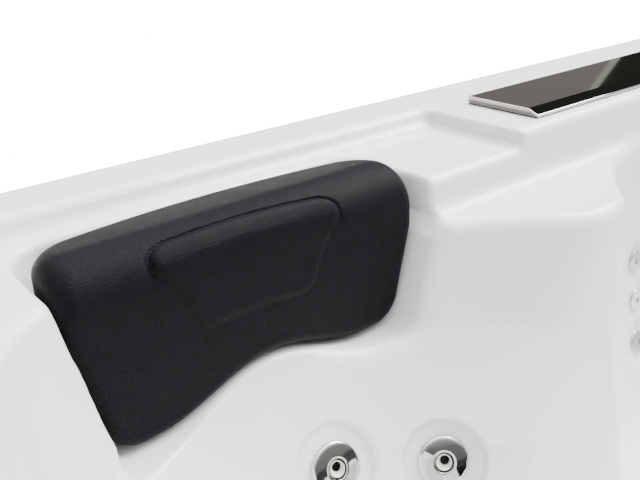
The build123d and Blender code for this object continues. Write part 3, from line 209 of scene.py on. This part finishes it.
def beside(x, y, z, origin, normal, rise=0.0):
    """Height over the plane through origin, raised by rise, and distance from its axis."""
    w = (x - origin[0]) * normal[0] + (y - origin[1]) * normal[1] + (z - origin[2]) * normal[2] + rise
    rho = np.sqrt(np.maximum((x - origin[0]) ** 2 + (y - origin[1]) ** 2 + (z - origin[2]) ** 2 - w ** 2, 0))
    return w, rho


def air(x, y, z):
    """Distance from the shell's surface: below zero in the air, above zero in and under the shell."""
    h = RIM_Z - z
    u, v = np.abs(x), np.abs(y)
    d = pillow_notch(rim_air(u, v, h), u, v, h)
    d = skimmer_air(seat_air(d, u, v, h), x, y, h)
    for origin, normal in LARGE.values():
        w, rho = beside(x, y, z, origin, normal)
        dish = meet(meet(rho - DIMPLE_R, -(w + DIMPLE_DEEP), DIMPLE_EDGE * 0.6), w - 40, 1)
        d = join(d, dish, DIMPLE_EDGE)
        d = np.minimum(d, np.maximum(np.maximum(rho - JET_HOLE_R, -(w + JET_HOLE_DEEP)), w - 6))
    outside = -rbox(x, y, 0, 0, HALF, HALF, RIM_R)
    return join(d, outside, 12)


def spans(*stretches):
    """Grid lines over stretches of (from, to, step)."""
    lines = [np.array([stretches[0][0]])]
    for lo, hi, step in stretches:
        count = max(1, round((hi - lo) / step))
        lines.append(np.linspace(lo, hi, count + 1)[1:])
    return np.concatenate(lines)


def slopes(field, p):
    """The field's slope at points p, along x, y and z."""
    g = []
    for axis in range(3):
        low = [p[:, 0], p[:, 1], p[:, 2]]
        high = list(low)
        low[axis] = p[:, axis] - STEP
        high[axis] = p[:, axis] + STEP
        g.append((field(*high) - field(*low)) / (2 * STEP))
    return np.stack(g, 1)


def skin(field, xs, ys, zs, reach=3.0):
    """Points, faces and outward directions of the surface where the field is zero (outside is negative)."""
    values = np.stack([field(x, *np.meshgrid(ys, zs, indexing="ij")) for x in xs]).astype(np.float32)
    grid = vdb.FloatGrid(-50.0)
    grid.copyFromArray(values)
    points, quads = grid.convertToQuads(isovalue=0.0)
    p = np.stack([np.interp(points[:, i], np.arange(len(a)), a) for i, a in enumerate((xs, ys, zs))], 1)
    for _ in range(3):
        g = slopes(field, p)
        size = np.maximum((g ** 2).sum(1), 0.25)
        step = g * (field(p[:, 0], p[:, 1], p[:, 2]) / size)[:, None]
        length = np.maximum(np.linalg.norm(step, axis=1), 1e-9)
        p -= step * np.minimum(1, reach / length)[:, None]
    n = -slopes(field, p)
    n /= np.maximum(np.linalg.norm(n, axis=1), 1e-9)[:, None]
    corner = p[quads]
    across = np.cross(corner[:, 2] - corner[:, 0], corner[:, 3] - corner[:, 1])
    facing = (across * n[quads].mean(1)).sum(1)
    quads = quads.copy()
    quads[facing < 0] = quads[facing < 0][:, ::-1]
    return p, quads, n


def mesh_piece(name, points, faces, material, normals=None, smooth=True):
    """A new object from points in millimetres."""
    mesh = bpy.data.meshes.new(name)
    corners = [tuple(p) for p in np.asarray(points) * MM]
    mesh.from_pydata(corners, [], [tuple(int(i) for i in f) for f in faces])
    mesh.materials.append(material)
    if smooth:
        mesh.shade_smooth()
    if normals is not None:
        mesh.normals_split_custom_set_from_vertices([tuple(n) for n in normals])
    mesh.validate()
    piece = bpy.data.objects.new(name, mesh)
    bpy.context.scene.collection.objects.link(piece)
    return piece


def shader(name, color, rough, metal=0.0, coat=0.0, grain=None, mottle=None, **sockets):
    """A Principled material whose colour and roughness vary by noise of the stated size (m) and strength."""
    m = bpy.data.materials.new(name)
    m.use_nodes = True
    nodes, links = m.node_tree.nodes, m.node_tree.links
    b = nodes["Principled BSDF"]
    b.inputs["Base Color"].default_value = (*color, 1)
    b.inputs["Roughness"].default_value = rough
    b.inputs["Metallic"].default_value = metal
    b.inputs["Coat Weight"].default_value = coat
    b.inputs["Coat Roughness"].default_value = 0.08
    for key, value in sockets.items():
        b.inputs[key.replace("_", " ")].default_value = value
    where = nodes.new("ShaderNodeTexCoord")
    if mottle:
        size, amount, spread = mottle
        cloud = nodes.new("ShaderNodeTexNoise")
        cloud.inputs["Scale"].default_value = 1 / size
        cloud.inputs["Detail"].default_value = 3
        links.new(where.outputs["Object"], cloud.inputs["Vector"])
        tint = nodes.new("ShaderNodeMix")
        tint.data_type = "RGBA"
        tint.inputs["A"].default_value = (*[c * (1 - amount) for c in color], 1)
        tint.inputs["B"].default_value = (*[min(1, c * (1 + amount)) for c in color], 1)
        links.new(cloud.outputs["Fac"], tint.inputs["Factor"])
        links.new(tint.outputs["Result"], b.inputs["Base Color"])
        band = nodes.new("ShaderNodeMapRange")
        band.inputs["To Min"].default_value = max(0, rough - spread)
        band.inputs["To Max"].default_value = rough + spread
        links.new(cloud.outputs["Fac"], band.inputs["Value"])
        links.new(band.outputs["Result"], b.inputs["Roughness"])
    if grain:
        size, height, detail = grain
        dots = nodes.new("ShaderNodeTexNoise")
        dots.inputs["Scale"].default_value = 1 / size
        dots.inputs["Detail"].default_value = detail
        links.new(where.outputs["Object"], dots.inputs["Vector"])
        bump = nodes.new("ShaderNodeBump")
        bump.inputs["Strength"].default_value = 1.0
        bump.inputs["Distance"].default_value = height
        links.new(dots.outputs["Fac"], bump.inputs["Height"])
        links.new(bump.outputs["Normal"], b.inputs["Normal"])
    return m


ACRYLIC = shader("white_acrylic_gloss", (0.70, 0.70, 0.705), 0.32, coat=0.25,
                 mottle=(0.6, 0.012, 0.04), grain=(0.05, 0.00002, 1.0), Specular_IOR_Level=0.42)
SKIN = shader("pillow_foam_skin", (0.0044, 0.0042, 0.0056), 0.44, mottle=(0.05, 0.10, 0.05),
              grain=(0.0013, 0.0008, 1.0), Specular_IOR_Level=0.045)
MIRROR = shader("mirror_polished_steel", (0.55, 0.545, 0.53), 0.035, metal=1.0, mottle=(0.09, 0.02, 0.015))
STEEL_END = shader("brushed_steel_end", (0.46, 0.42, 0.39), 0.30, metal=1.0,
                   mottle=(0.02, 0.06, 0.05))
STEEL = shader("bright_stainless", (0.52, 0.515, 0.50), 0.24, metal=1.0, mottle=(0.04, 0.04, 0.05))
IVORY = shader("ivory_moulding", (0.66, 0.63, 0.55), 0.36, mottle=(0.02, 0.03, 0.05))
# Black BLACK_ABS_AND_SHADE of the trays; also used as painted shade in the jets' bores and under the polished
# strip
BLACK_ABS_AND_SHADE = shader("black_abs_tray_and_painted_shade", (0.022, 0.022, 0.024), 0.55, mottle=(0.2, 0.10, 0.08),
             grain=(0.003, 0.0002, 3.0))
FRAME_PAINT = shader("grey_frame_paint", (0.23, 0.24, 0.25), 0.50, mottle=(0.12, 0.06, 0.08),
                     grain=(0.004, 0.0001, 2.0))
CABINET = shader("grey_cabinet_board", (0.115, 0.118, 0.125), 0.58, mottle=(0.30, 0.10, 0.08),
                 grain=(0.0035, 0.0003, 5.0))
PVC = shader("white_pvc", (0.74, 0.74, 0.72), 0.38, mottle=(0.05, 0.02, 0.06))
HOSE = shader("milky_clear_hose", (0.62, 0.65, 0.66), 0.28, mottle=(0.03, 0.05, 0.05),
              Transmission_Weight=0.25)
GREY_GLOSS = shader("grey_gloss_moulding", (0.30, 0.305, 0.315), 0.24, coat=0.2, mottle=(0.05, 0.04, 0.05))
BLACK_GLOSS = shader("black_gloss_panel", (0.014, 0.014, 0.016), 0.16, coat=0.5, mottle=(0.05, 0.10, 0.04))
LENS = shader("clear_light_lens", (0.82, 0.87, 0.90), 0.12, mottle=(0.02, 0.03, 0.04),
              Transmission_Weight=0.6)
PAPER = shader("pleated_filter_paper", (0.78, 0.78, 0.74), 0.85, mottle=(0.02, 0.05, 0.04),
               grain=(0.001, 0.0002, 4.0))
MOTOR = shader("motor_black_paint", (0.030, 0.032, 0.036), 0.42, mottle=(0.04, 0.12, 0.08),
               grain=(0.002, 0.00015, 3.0))
FINISHES = {
    "white_acrylic": ACRYLIC, "black_abs": BLACK_ABS_AND_SHADE, "painted_frame": FRAME_PAINT, "cabinet_grey": CABINET,
    "stainless": STEEL, "mirror_steel": MIRROR, "white_pvc": PVC, "clear_hose": HOSE, "pillow_skin": SKIN,
    "grey_gloss": GREY_GLOSS, "black_gloss": BLACK_GLOSS, "ivory_plastic": IVORY, "clear_lens": LENS,
    "filter_paper": PAPER, "motor_paint": MOTOR,
}
for part in frame["record"]["subparts"]:
    node = frame["nodes"][part["node"]]
    node.data.materials.clear()
    node.data.materials.append(FINISHES[part["material_slot"]])


def islands(node):
    """The centre and flat direction of each separate solid of a CAD node, in millimetres."""
    form = bmesh.new()
    form.from_mesh(frame["nodes"][node].data)
    bmesh.ops.remove_doubles(form, verts=form.verts, dist=1e-6)
    left = set(form.verts)
    found = []
    while left:
        stack = [left.pop()]
        group = []
        while stack:
            v = stack.pop()
            group.append(v.co[:])
            for edge in v.link_edges:
                other = edge.other_vert(v)
                if other in left:
                    left.remove(other)
                    stack.append(other)
        co = np.array(group) / MM
        middle = (co.max(0) + co.min(0)) / 2
        found.append((middle, np.linalg.eigh(np.cov((co - middle).T))[1][:, 0]))
    form.free()
    return found


def joint_places(word):
    """Place in millimetres and axis of each joint whose child's name starts with word."""
    rows = {}
    for joint in frame["joints"]:
        if joint["child"].startswith(word):
            rows[joint["child"]] = (np.array(joint["pos_m"]) / MM, np.array(joint["axis"]))
    return rows


LARGE = joint_places("jet_face")
FLATS = []
for middle, flat in islands("small_jet_faces"):
    toward = -middle * np.array([1, 1, 0]) + np.array([0, 0, 300])
    FLATS.append((middle, flat * np.sign(flat @ toward)))


def tub_field(x, y, z):
    """The shell's field, made flat under each small jet so that its face lies on it."""
    x, y, z = np.broadcast_arrays(np.asarray(x, float), y, z)
    d = air(x, y, z)
    for origin, normal in FLATS:
        w, rho = beside(x, y, z, origin, normal, rise=1.0)
        t = np.clip((FLAT_R + FLAT_FADE - rho) / FLAT_FADE, 0, 1) * np.clip((30 - np.abs(w)) / 12, 0, 1)
        t = t * t * (3 - 2 * t)
        d = d * (1 - t) - w * t
    return d


def make_shell():
    """The shell's skin, ended at the lip's foot, with the lip's wall turned under and back up inside."""
    k = 1.0
    xs = spans((-1112, -900, 8 * k), (-900, -700, 6 * k), (-700, -500, 3.5 * k), (-500, -250, 5 * k),
               (-250, 0, 7 * k), (0, 868, 14 * k), (868, 1042, 5 * k), (1042, 1112, 14 * k))
    ys = spans((-1112, -90, 14 * k), (-90, 90, 5 * k), (90, 650, 14 * k), (650, 740, 6 * k),
               (740, 900, 3.5 * k), (900, 1112, 7 * k))
    zs = spans((60, 108, 24), (108, 400, 12 * k), (400, 550, 7 * k), (550, 914, 3.2 * k))
    p, quads, n = skin(tub_field, xs, ys, zs)
    centre = p[quads].mean(1)
    edge = rbox(centre[:, 0], centre[:, 1], 0, 0, HALF, HALF, RIM_R)
    keep = (centre[:, 2] > 90) & ~((edge > -4) & (centre[:, 2] < RIM_Z - LIP_DROP))
    quads = quads[keep]
    used = np.unique(quads)
    index = np.full(len(p), -1)
    index[used] = np.arange(len(used))
    p, n, quads = p[used], n[used], index[quads]
    sides = np.sort(np.concatenate([quads[:, [i, (i + 1) % 4]] for i in range(4)]), axis=1)
    unique, count = np.unique(sides, axis=0, return_counts=True)
    rim = unique[count == 1]
    first = p[rim[:, 0]]
    outer = rbox(first[:, 0], first[:, 1], 0, 0, HALF, HALF, RIM_R) > -4
    rim = rim[(first[:, 2] > RIM_Z - LIP_DROP - 20) & outer]
    low = np.unique(rim)
    p[low, 2] = RIM_Z - LIP_DROP
    start = len(p)
    under = p[low] - n[low] * np.array([LIP_WALL, LIP_WALL, 0])
    upper = under + np.array([0, 0, LIP_RETURN])
    order = np.full(start, -1)
    order[low] = np.arange(len(low))
    a, b = order[rim[:, 0]], order[rim[:, 1]]
    m = len(low)
    skirt = np.stack([rim[:, 0], rim[:, 1], start + b, start + a], 1)
    back = np.stack([start + a, start + b, start + m + b, start + m + a], 1)
    p = np.concatenate([p, under, upper])
    n = np.concatenate([n, np.tile([0.0, 0.0, -1.0], (m, 1)), -n[low]])
    faces = [tuple(f) for f in quads] + [tuple(f) for f in skirt] + [tuple(f) for f in back]
    return mesh_piece("tub_skin", p, faces, ACRYLIC, n)


tub_skin = make_shell()
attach(tub_skin, "tub")
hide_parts("acrylic_shell")


def pillow_field(x, y, h):
    """The pillow with its embossed panel, the roll at the panel's top and the groove round it."""
    s = x - PILLOW_X
    top = 1.0 + (y - 905.0) * 11 / 80
    face = meet(PILLOW_FRONT - y, top - h, 46)
    side = np.abs(s) - pillow_half(h)
    plan = meet(side, y - (990.0 - 17 * (s / 150.0) ** 2), 42)
    body = np.minimum(meet(plan, h - 74, 8), meet(meet(side, h - pillow_low(s), 26), y - 912, 5))
    f = meet(face, body, 13 + 10 * np.clip((45 - h) / 45, 0, 1))
    c = h - (y - PILLOW_FRONT)
    t = s - 9.0
    c = c + 0.03 * t - 8 * (t / 95.0) ** 2
    bar = rbox(t, c, 0, 10, 97, 20, 18)
    bib = meet(np.abs(t) - along(c, (20, 92), (50, 75), (88, 60)), c - 91.0, 14)
    room = -join(bar, meet(bib, 10 - c, 2), 5)
    panel = np.clip((room + 2) / 7, 0, 1)
    panel = panel * panel * (3 - 2 * panel)
    swell = np.clip((room + 1) / 12, 0, 1)
    roll = np.sqrt(swell * (2 - swell)) * np.clip((38 - c) / 22, 0, 1)
    groove = np.exp(-((room + 2.5) / 2.0) ** 2) * np.clip((34 - c) / 14, 0.15, 1)
    return -(f - 2.0 * panel - 3.2 * roll + 1.6 * groove)


def make_pillow():
    k = 1.0
    xs = spans((PILLOW_X - 196, PILLOW_X + 196, 2.2 * k))
    ys = spans((866, 1000, 2.0 * k))
    hs = spans((-8, 182, 2.0 * k))
    return skin(pillow_field, xs, ys, hs, 2.0)


base_p, base_q, base_n = make_pillow()
for side, sx in (("left", -1), ("right", 1)):
    for end, sy in (("back", 1), ("front", -1)):
        flip = np.array([sx, sy, -1])
        p = base_p * flip + np.array([0, 0, RIM_Z])
        q = base_q if sx * sy < 0 else base_q[:, ::-1]
        pillow = mesh_piece(f"pillow_skin_{end}_{side}", p, q, SKIN, base_n * flip)
        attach(pillow, f"pillow_{end}_{side}")
        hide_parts(f"pillow_{end}_{side}")


def turned(name, profile, origin, normal, material, lean=(0.0, 0.0), count=80):
    """A turned piece: profile rows are (radius, height along the normal, share of the lean)."""
    up = np.array([0.0, 0.0, 1.0])
    side = np.cross(up, normal)
    side /= np.linalg.norm(side)
    rise = np.cross(normal, side)
    turn = np.arange(count) * 2 * math.pi / count
    points = []
    for r, w, share in profile:
        centre = origin + normal * w + (side * lean[0] + rise * lean[1]) * share
        points.append(centre + r * (np.cos(turn)[:, None] * side + np.sin(turn)[:, None] * rise))
    points = np.concatenate(points)
    faces = []
    for start in range(0, (len(profile) - 1) * count, count):
        for i in range(count):
            j = (i + 1) % count
            faces.append((start + i, start + j, start + count + j, start + count + i))
    piece = mesh_piece(name, points, faces, material)
    form = bmesh.new()
    form.from_mesh(piece.data)
    bmesh.ops.remove_doubles(form, verts=form.verts, dist=1e-6)
    bmesh.ops.recalc_face_normals(form, faces=form.faces)
    form.to_mesh(piece.data)
    form.free()
    return piece


# Rows of (radius, height over the seat back, share of the bore's lean)
FACE_PROFILE = [(10.9, -8.0, 0), (10.7, -4.0, 0), (10.3, -1.0, 0), (10.2, 1.6, 0), (10.3, 2.3, 0),
                (10.55, 2.75, 0), (11.1, 2.93, 0), (13.0, 2.84, 0), (16.0, 2.65, 0), (19.0, 2.43, 0),
                (22.0, 2.18, 0), (24.2, 1.93, 0), (25.2, 1.65, 0), (26.0, 1.15, 0), (26.6, 0.4, 0),
                (26.95, -0.5, 0), (27.0, -1.2, 0), (26.6, -1.7, 0), (22.0, -1.7, 0), (20.8, -8.0, 0),
                (10.9, -8.0, 0)]
NOZZLE_PROFILE = [(0.0, -15.0, 1), (4.5, -15.0, 1), (4.7, -6.0, 1), (4.9, -4.0, 1), (5.3, -3.0, 0.9),
                  (6.1, -1.2, 0.55), (6.9, 0.8, 0.2), (7.3, 1.8, 0.05), (7.6, 2.15, 0), (8.0, 2.1, 0),
                  (8.25, 1.5, 0), (8.3, 0.0, 0), (8.6, -3.0, 0), (8.8, -7.0, 0), (8.2, -11.0, 0),
                  (6.6, -14.0, 0.5), (0.0, -16.0, 1)]
BORE_LEAN = (2.2, 1.4)
# Depth and radius within which the nozzle's bore is painted black, as painted shade inside the tube
BORE_SHADE_DEPTH = -4.0
BORE_SHADE_R = 8.5
for body, (origin, normal) in LARGE.items():
    face = turned(f"{body}_polished", FACE_PROFILE, origin, normal, MIRROR)
    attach(face, body)
    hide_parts(body)
    spout = body.replace("jet_face", "jet_nozzle")
    across = BORE_LEAN[0] if "left" in body else -BORE_LEAN[0]
    cup = turned(f"{spout}_cup", NOZZLE_PROFILE, origin, normal, IVORY, (across, BORE_LEAN[1]))
    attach(cup, spout)
    # The bore's deep inside takes the black material: painted shade inside the nozzle
    cup.data.materials.append(BLACK_ABS_AND_SHADE)
    for polygon in cup.data.polygons:
        w, rho = beside(*(np.array(polygon.center) / MM), origin, normal)
        polygon.material_index = int(w < BORE_SHADE_DEPTH and rho < BORE_SHADE_R)
    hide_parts(spout)

STRIP_BEVEL_W, STRIP_BEVEL_H = 15.0, 6.0
STRIP_EDGE = 1.3
# The black band under the plate is painted contact shadow; its inset also leaves a small real gap that shades
# itself
SHADE_BAND_T, SHADE_BAND_INSET = 1.6, 1.5


def make_strip():
    """The polished plate with its front bevel, on a thin inset black band of painted contact shadow, in the
    waterfall strip's box.
    """
    low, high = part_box("waterfall_strip")
    x0, y0, z0 = np.array(low) / MM
    x1, y1, z1 = np.array(high) / MM
    seam = z0 + SHADE_BAND_T
    back, front = y1 - SHADE_BAND_INSET, y0 + SHADE_BAND_INSET
    plate = [(y1, seam), (y1, z1), (y0 + STRIP_BEVEL_W, z1), (y0, z1 - STRIP_BEVEL_H), (y0, seam)]
    shade_band = [(back, z0), (back, seam), (front, seam), (front, z0)]
    form = bmesh.new()
    for outline, inset in ((plate, 0.0), (shade_band, SHADE_BAND_INSET)):
        ends = [[form.verts.new((x, y, z)) for y, z in outline] for x in (x0 + inset, x1 - inset)]
        n = len(outline)
        form.faces.new(ends[0])
        form.faces.new(ends[1][::-1])
        for i in range(n):
            j = (i + 1) % n
            form.faces.new((ends[0][j], ends[0][i], ends[1][i], ends[1][j]))
    bmesh.ops.recalc_face_normals(form, faces=form.faces)
    sharp = [e for e in form.edges if max(v.co.z for v in e.verts) > seam + 0.1]
    bmesh.ops.bevel(form, geom=sharp, offset=STRIP_EDGE, segments=4, profile=0.5, affect="EDGES",
                    clamp_overlap=True)
    for v in form.verts:
        v.co *= MM
    form.normal_update()
    flat = [sum((f.normal * f.calc_area() for f in v.link_faces), Vector()).normalized() for v in form.verts]
    mesh = bpy.data.meshes.new("strip_plate")
    form.to_mesh(mesh)
    form.free()
    for finish in (MIRROR, STEEL_END, BLACK_ABS_AND_SHADE):
        mesh.materials.append(finish)
    for face in mesh.polygons:
        # Faces below the seam take the black material: painted contact shadow under the plate
        under = face.center.z < (seam - 0.01) * MM
        face.material_index = 2 if under else int(abs(face.normal.x) > 0.9)
    mesh.shade_smooth()
    mesh.normals_split_custom_set_from_vertices(flat)
    piece = bpy.data.objects.new("strip_plate", mesh)
    bpy.context.scene.collection.objects.link(piece)
    return piece


strip = make_strip()
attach(strip, "tub")
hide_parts("waterfall_strip")

# Floor, light and camera. The floor shows white to the camera alone, from FLOOR_NEAR to FLOOR_FAR outward.
WHITE_LEVEL = 20.0
FLOOR_NEAR, FLOOR_FAR = 1.6, 4.0
SPREAD = 60000
paint = shader("studio_floor_white", (0.80, 0.80, 0.80), 0.8, mottle=(3.0, 0.004, 0.02))
corners = [(-SPREAD, -SPREAD, 0), (SPREAD, -SPREAD, 0), (SPREAD, SPREAD, 0), (-SPREAD, SPREAD, 0)]
floor = mesh_piece("studio_floor", corners, [(0, 1, 2, 3)], paint, smooth=False)
fn, fl = paint.node_tree.nodes, paint.node_tree.links
glow = fn["Principled BSDF"]
glow.inputs["Emission Color"].default_value = (1, 1, 1, 1)
spot = fn.new("ShaderNodeTexCoord")
reach = fn.new("ShaderNodeVectorMath")
reach.operation = "LENGTH"
fl.new(spot.outputs["Object"], reach.inputs[0])
fade = fn.new("ShaderNodeMapRange")
fade.interpolation_type = "SMOOTHSTEP"
fade.inputs["From Min"].default_value = FLOOR_NEAR
fade.inputs["From Max"].default_value = FLOOR_FAR
fade.inputs["To Max"].default_value = WHITE_LEVEL
fl.new(reach.outputs["Value"], fade.inputs["Value"])
seen = fn.new("ShaderNodeLightPath")
shown = fn.new("ShaderNodeMath")
shown.operation = "MULTIPLY"
fl.new(fade.outputs["Result"], shown.inputs[0])
fl.new(seen.outputs["Is Camera Ray"], shown.inputs[1])
fl.new(shown.outputs["Value"], glow.inputs["Emission Strength"])


def area_light(name, place, target, size, power):
    data = bpy.data.lights.new(name, "AREA")
    data.shape = "RECTANGLE"
    data.size, data.size_y = size
    data.energy = power
    light = bpy.data.objects.new(name, data)
    light.location = place
    light.rotation_euler = (Vector(target) - Vector(place)).to_track_quat("-Z", "Y").to_euler()
    bpy.context.scene.collection.objects.link(light)


area_light("right_softbox", (2.8, 0.2, 4.6), (-0.3, 0.5, 0.7), (3.0, 3.0), 760)

# The sky's light by height: a dark horizon and a bright zenith, in fifths of SKY_TOP
SKY_TOP = 5.0
SKY = ((0.0, 0.14), (0.205, 0.10), (0.235, 0.30), (0.36, 0.38), (0.50, 1.3), (0.72, 3.6), (1.0, SKY_TOP))
world = bpy.data.worlds.new("studio_world")
bpy.context.scene.world = world
world.use_nodes = True
wn, wl = world.node_tree.nodes, world.node_tree.links
backdrop = wn["Background"]
way = wn.new("ShaderNodeTexCoord")
parts = wn.new("ShaderNodeSeparateXYZ")
wl.new(way.outputs["Generated"], parts.inputs["Vector"])
ramp = wn.new("ShaderNodeValToRGB")
while len(ramp.color_ramp.elements) < len(SKY):
    ramp.color_ramp.elements.new(0.5)
for element, (place, level) in zip(ramp.color_ramp.elements, SKY):
    grey = level / SKY_TOP
    element.position = place
    element.color = (grey, grey, grey * (0.985 if place < 0.4 else 1), 1)
wl.new(parts.outputs["Z"], ramp.inputs["Fac"])


def sums(operation, a, b):
    """A world node that works out a and b, each a number or a socket."""
    n = wn.new("ShaderNodeMath")
    n.operation = operation
    for socket, value in zip(n.inputs, (a, b)):
        if isinstance(value, float):
            socket.default_value = value
        else:
            wl.new(value, socket)
    return n.outputs["Value"]


# Dark studio screens beyond the back right corner, which the polished strip reflects
SCREEN_LEAN = 0.788
SCREENS = ((0.0, (0.0030, 0.0030, 0.0026)), (0.4441, (0.046, 0.047, 0.040)),
           (0.4563, (0.0265, 0.0252, 0.0232)))
turn = sums("DIVIDE", parts.outputs["Y"], parts.outputs["X"])
lean = sums("SUBTRACT", turn, sums("MULTIPLY", parts.outputs["Z"], SCREEN_LEAN))
screen = wn.new("ShaderNodeValToRGB")
screen.color_ramp.interpolation = "CONSTANT"
while len(screen.color_ramp.elements) < len(SCREENS):
    screen.color_ramp.elements.new(0.5)
for element, (place, tone) in zip(screen.color_ramp.elements, SCREENS):
    element.position = place
    element.color = (*tone, 1)
wl.new(lean, screen.inputs["Fac"])
below = sums("LESS_THAN", parts.outputs["Z"], 0.47)
right = sums("GREATER_THAN", parts.outputs["X"], 0.45)
behind = sums("GREATER_THAN", parts.outputs["Y"], 0.20)
inside = sums("MULTIPLY", sums("MULTIPLY", below, right), behind)
screened = wn.new("ShaderNodeMix")
screened.data_type = "RGBA"
wl.new(inside, screened.inputs["Factor"])
wl.new(ramp.outputs["Color"], screened.inputs["A"])
wl.new(screen.outputs["Color"], screened.inputs["B"])
# A dark flag where the strip's bevel looks
flag = wn.new("ShaderNodeVectorMath")
flag.operation = "DOT_PRODUCT"
flag.inputs[1].default_value = Vector((0.80, 0.20, 0.56)).normalized()
wl.new(way.outputs["Generated"], flag.inputs[0])
shadow = wn.new("ShaderNodeMapRange")
shadow.inputs["From Min"].default_value = 0.955
shadow.inputs["From Max"].default_value = 0.975
wl.new(flag.outputs["Value"], shadow.inputs["Value"])
flagged = wn.new("ShaderNodeMix")
flagged.data_type = "RGBA"
flagged.inputs["B"].default_value = (0.0036, 0.0034, 0.0030, 1)
wl.new(shadow.outputs["Result"], flagged.inputs["Factor"])
wl.new(screened.outputs["Result"], flagged.inputs["A"])
wl.new(flagged.outputs["Result"], backdrop.inputs["Color"])
# Brighter toward the back right, so the faces that look left and forward fall off
side = sums("ADD", sums("MULTIPLY", parts.outputs["X"], 3.0), sums("MULTIPLY", parts.outputs["Y"], 1.4))
wl.new(sums("ADD", side, 5.4), backdrop.inputs["Strength"])
white = wn.new("ShaderNodeBackground")
white.inputs["Strength"].default_value = WHITE_LEVEL
direct = wn.new("ShaderNodeLightPath")
mixed = wn.new("ShaderNodeMixShader")
wl.new(direct.outputs["Is Camera Ray"], mixed.inputs["Fac"])
wl.new(backdrop.outputs["Background"], mixed.inputs[1])
wl.new(white.outputs["Background"], mixed.inputs[2])
wl.new(mixed.outputs["Shader"], wn["World Output"].inputs["Surface"])

# The camera, fitted to the photograph: its own x, y and z directions in the frame, and its place
lens = bpy.data.cameras.new("photo_camera")
lens.lens = 45.0
lens.sensor_width = 36.0
lens.clip_start = 0.01
camera = bpy.data.objects.new("photo_camera", lens)
rows = ((0.77206, -0.63457, -0.03246), (0.27535, 0.28904, 0.91715), (-0.57190, -0.71761, 0.39781))
camera.matrix_world = Matrix.Translation((-1.050, 0.343, 1.150)) @ Matrix(rows).transposed().to_4x4()
bpy.context.scene.collection.objects.link(camera)
bpy.context.scene.camera = camera
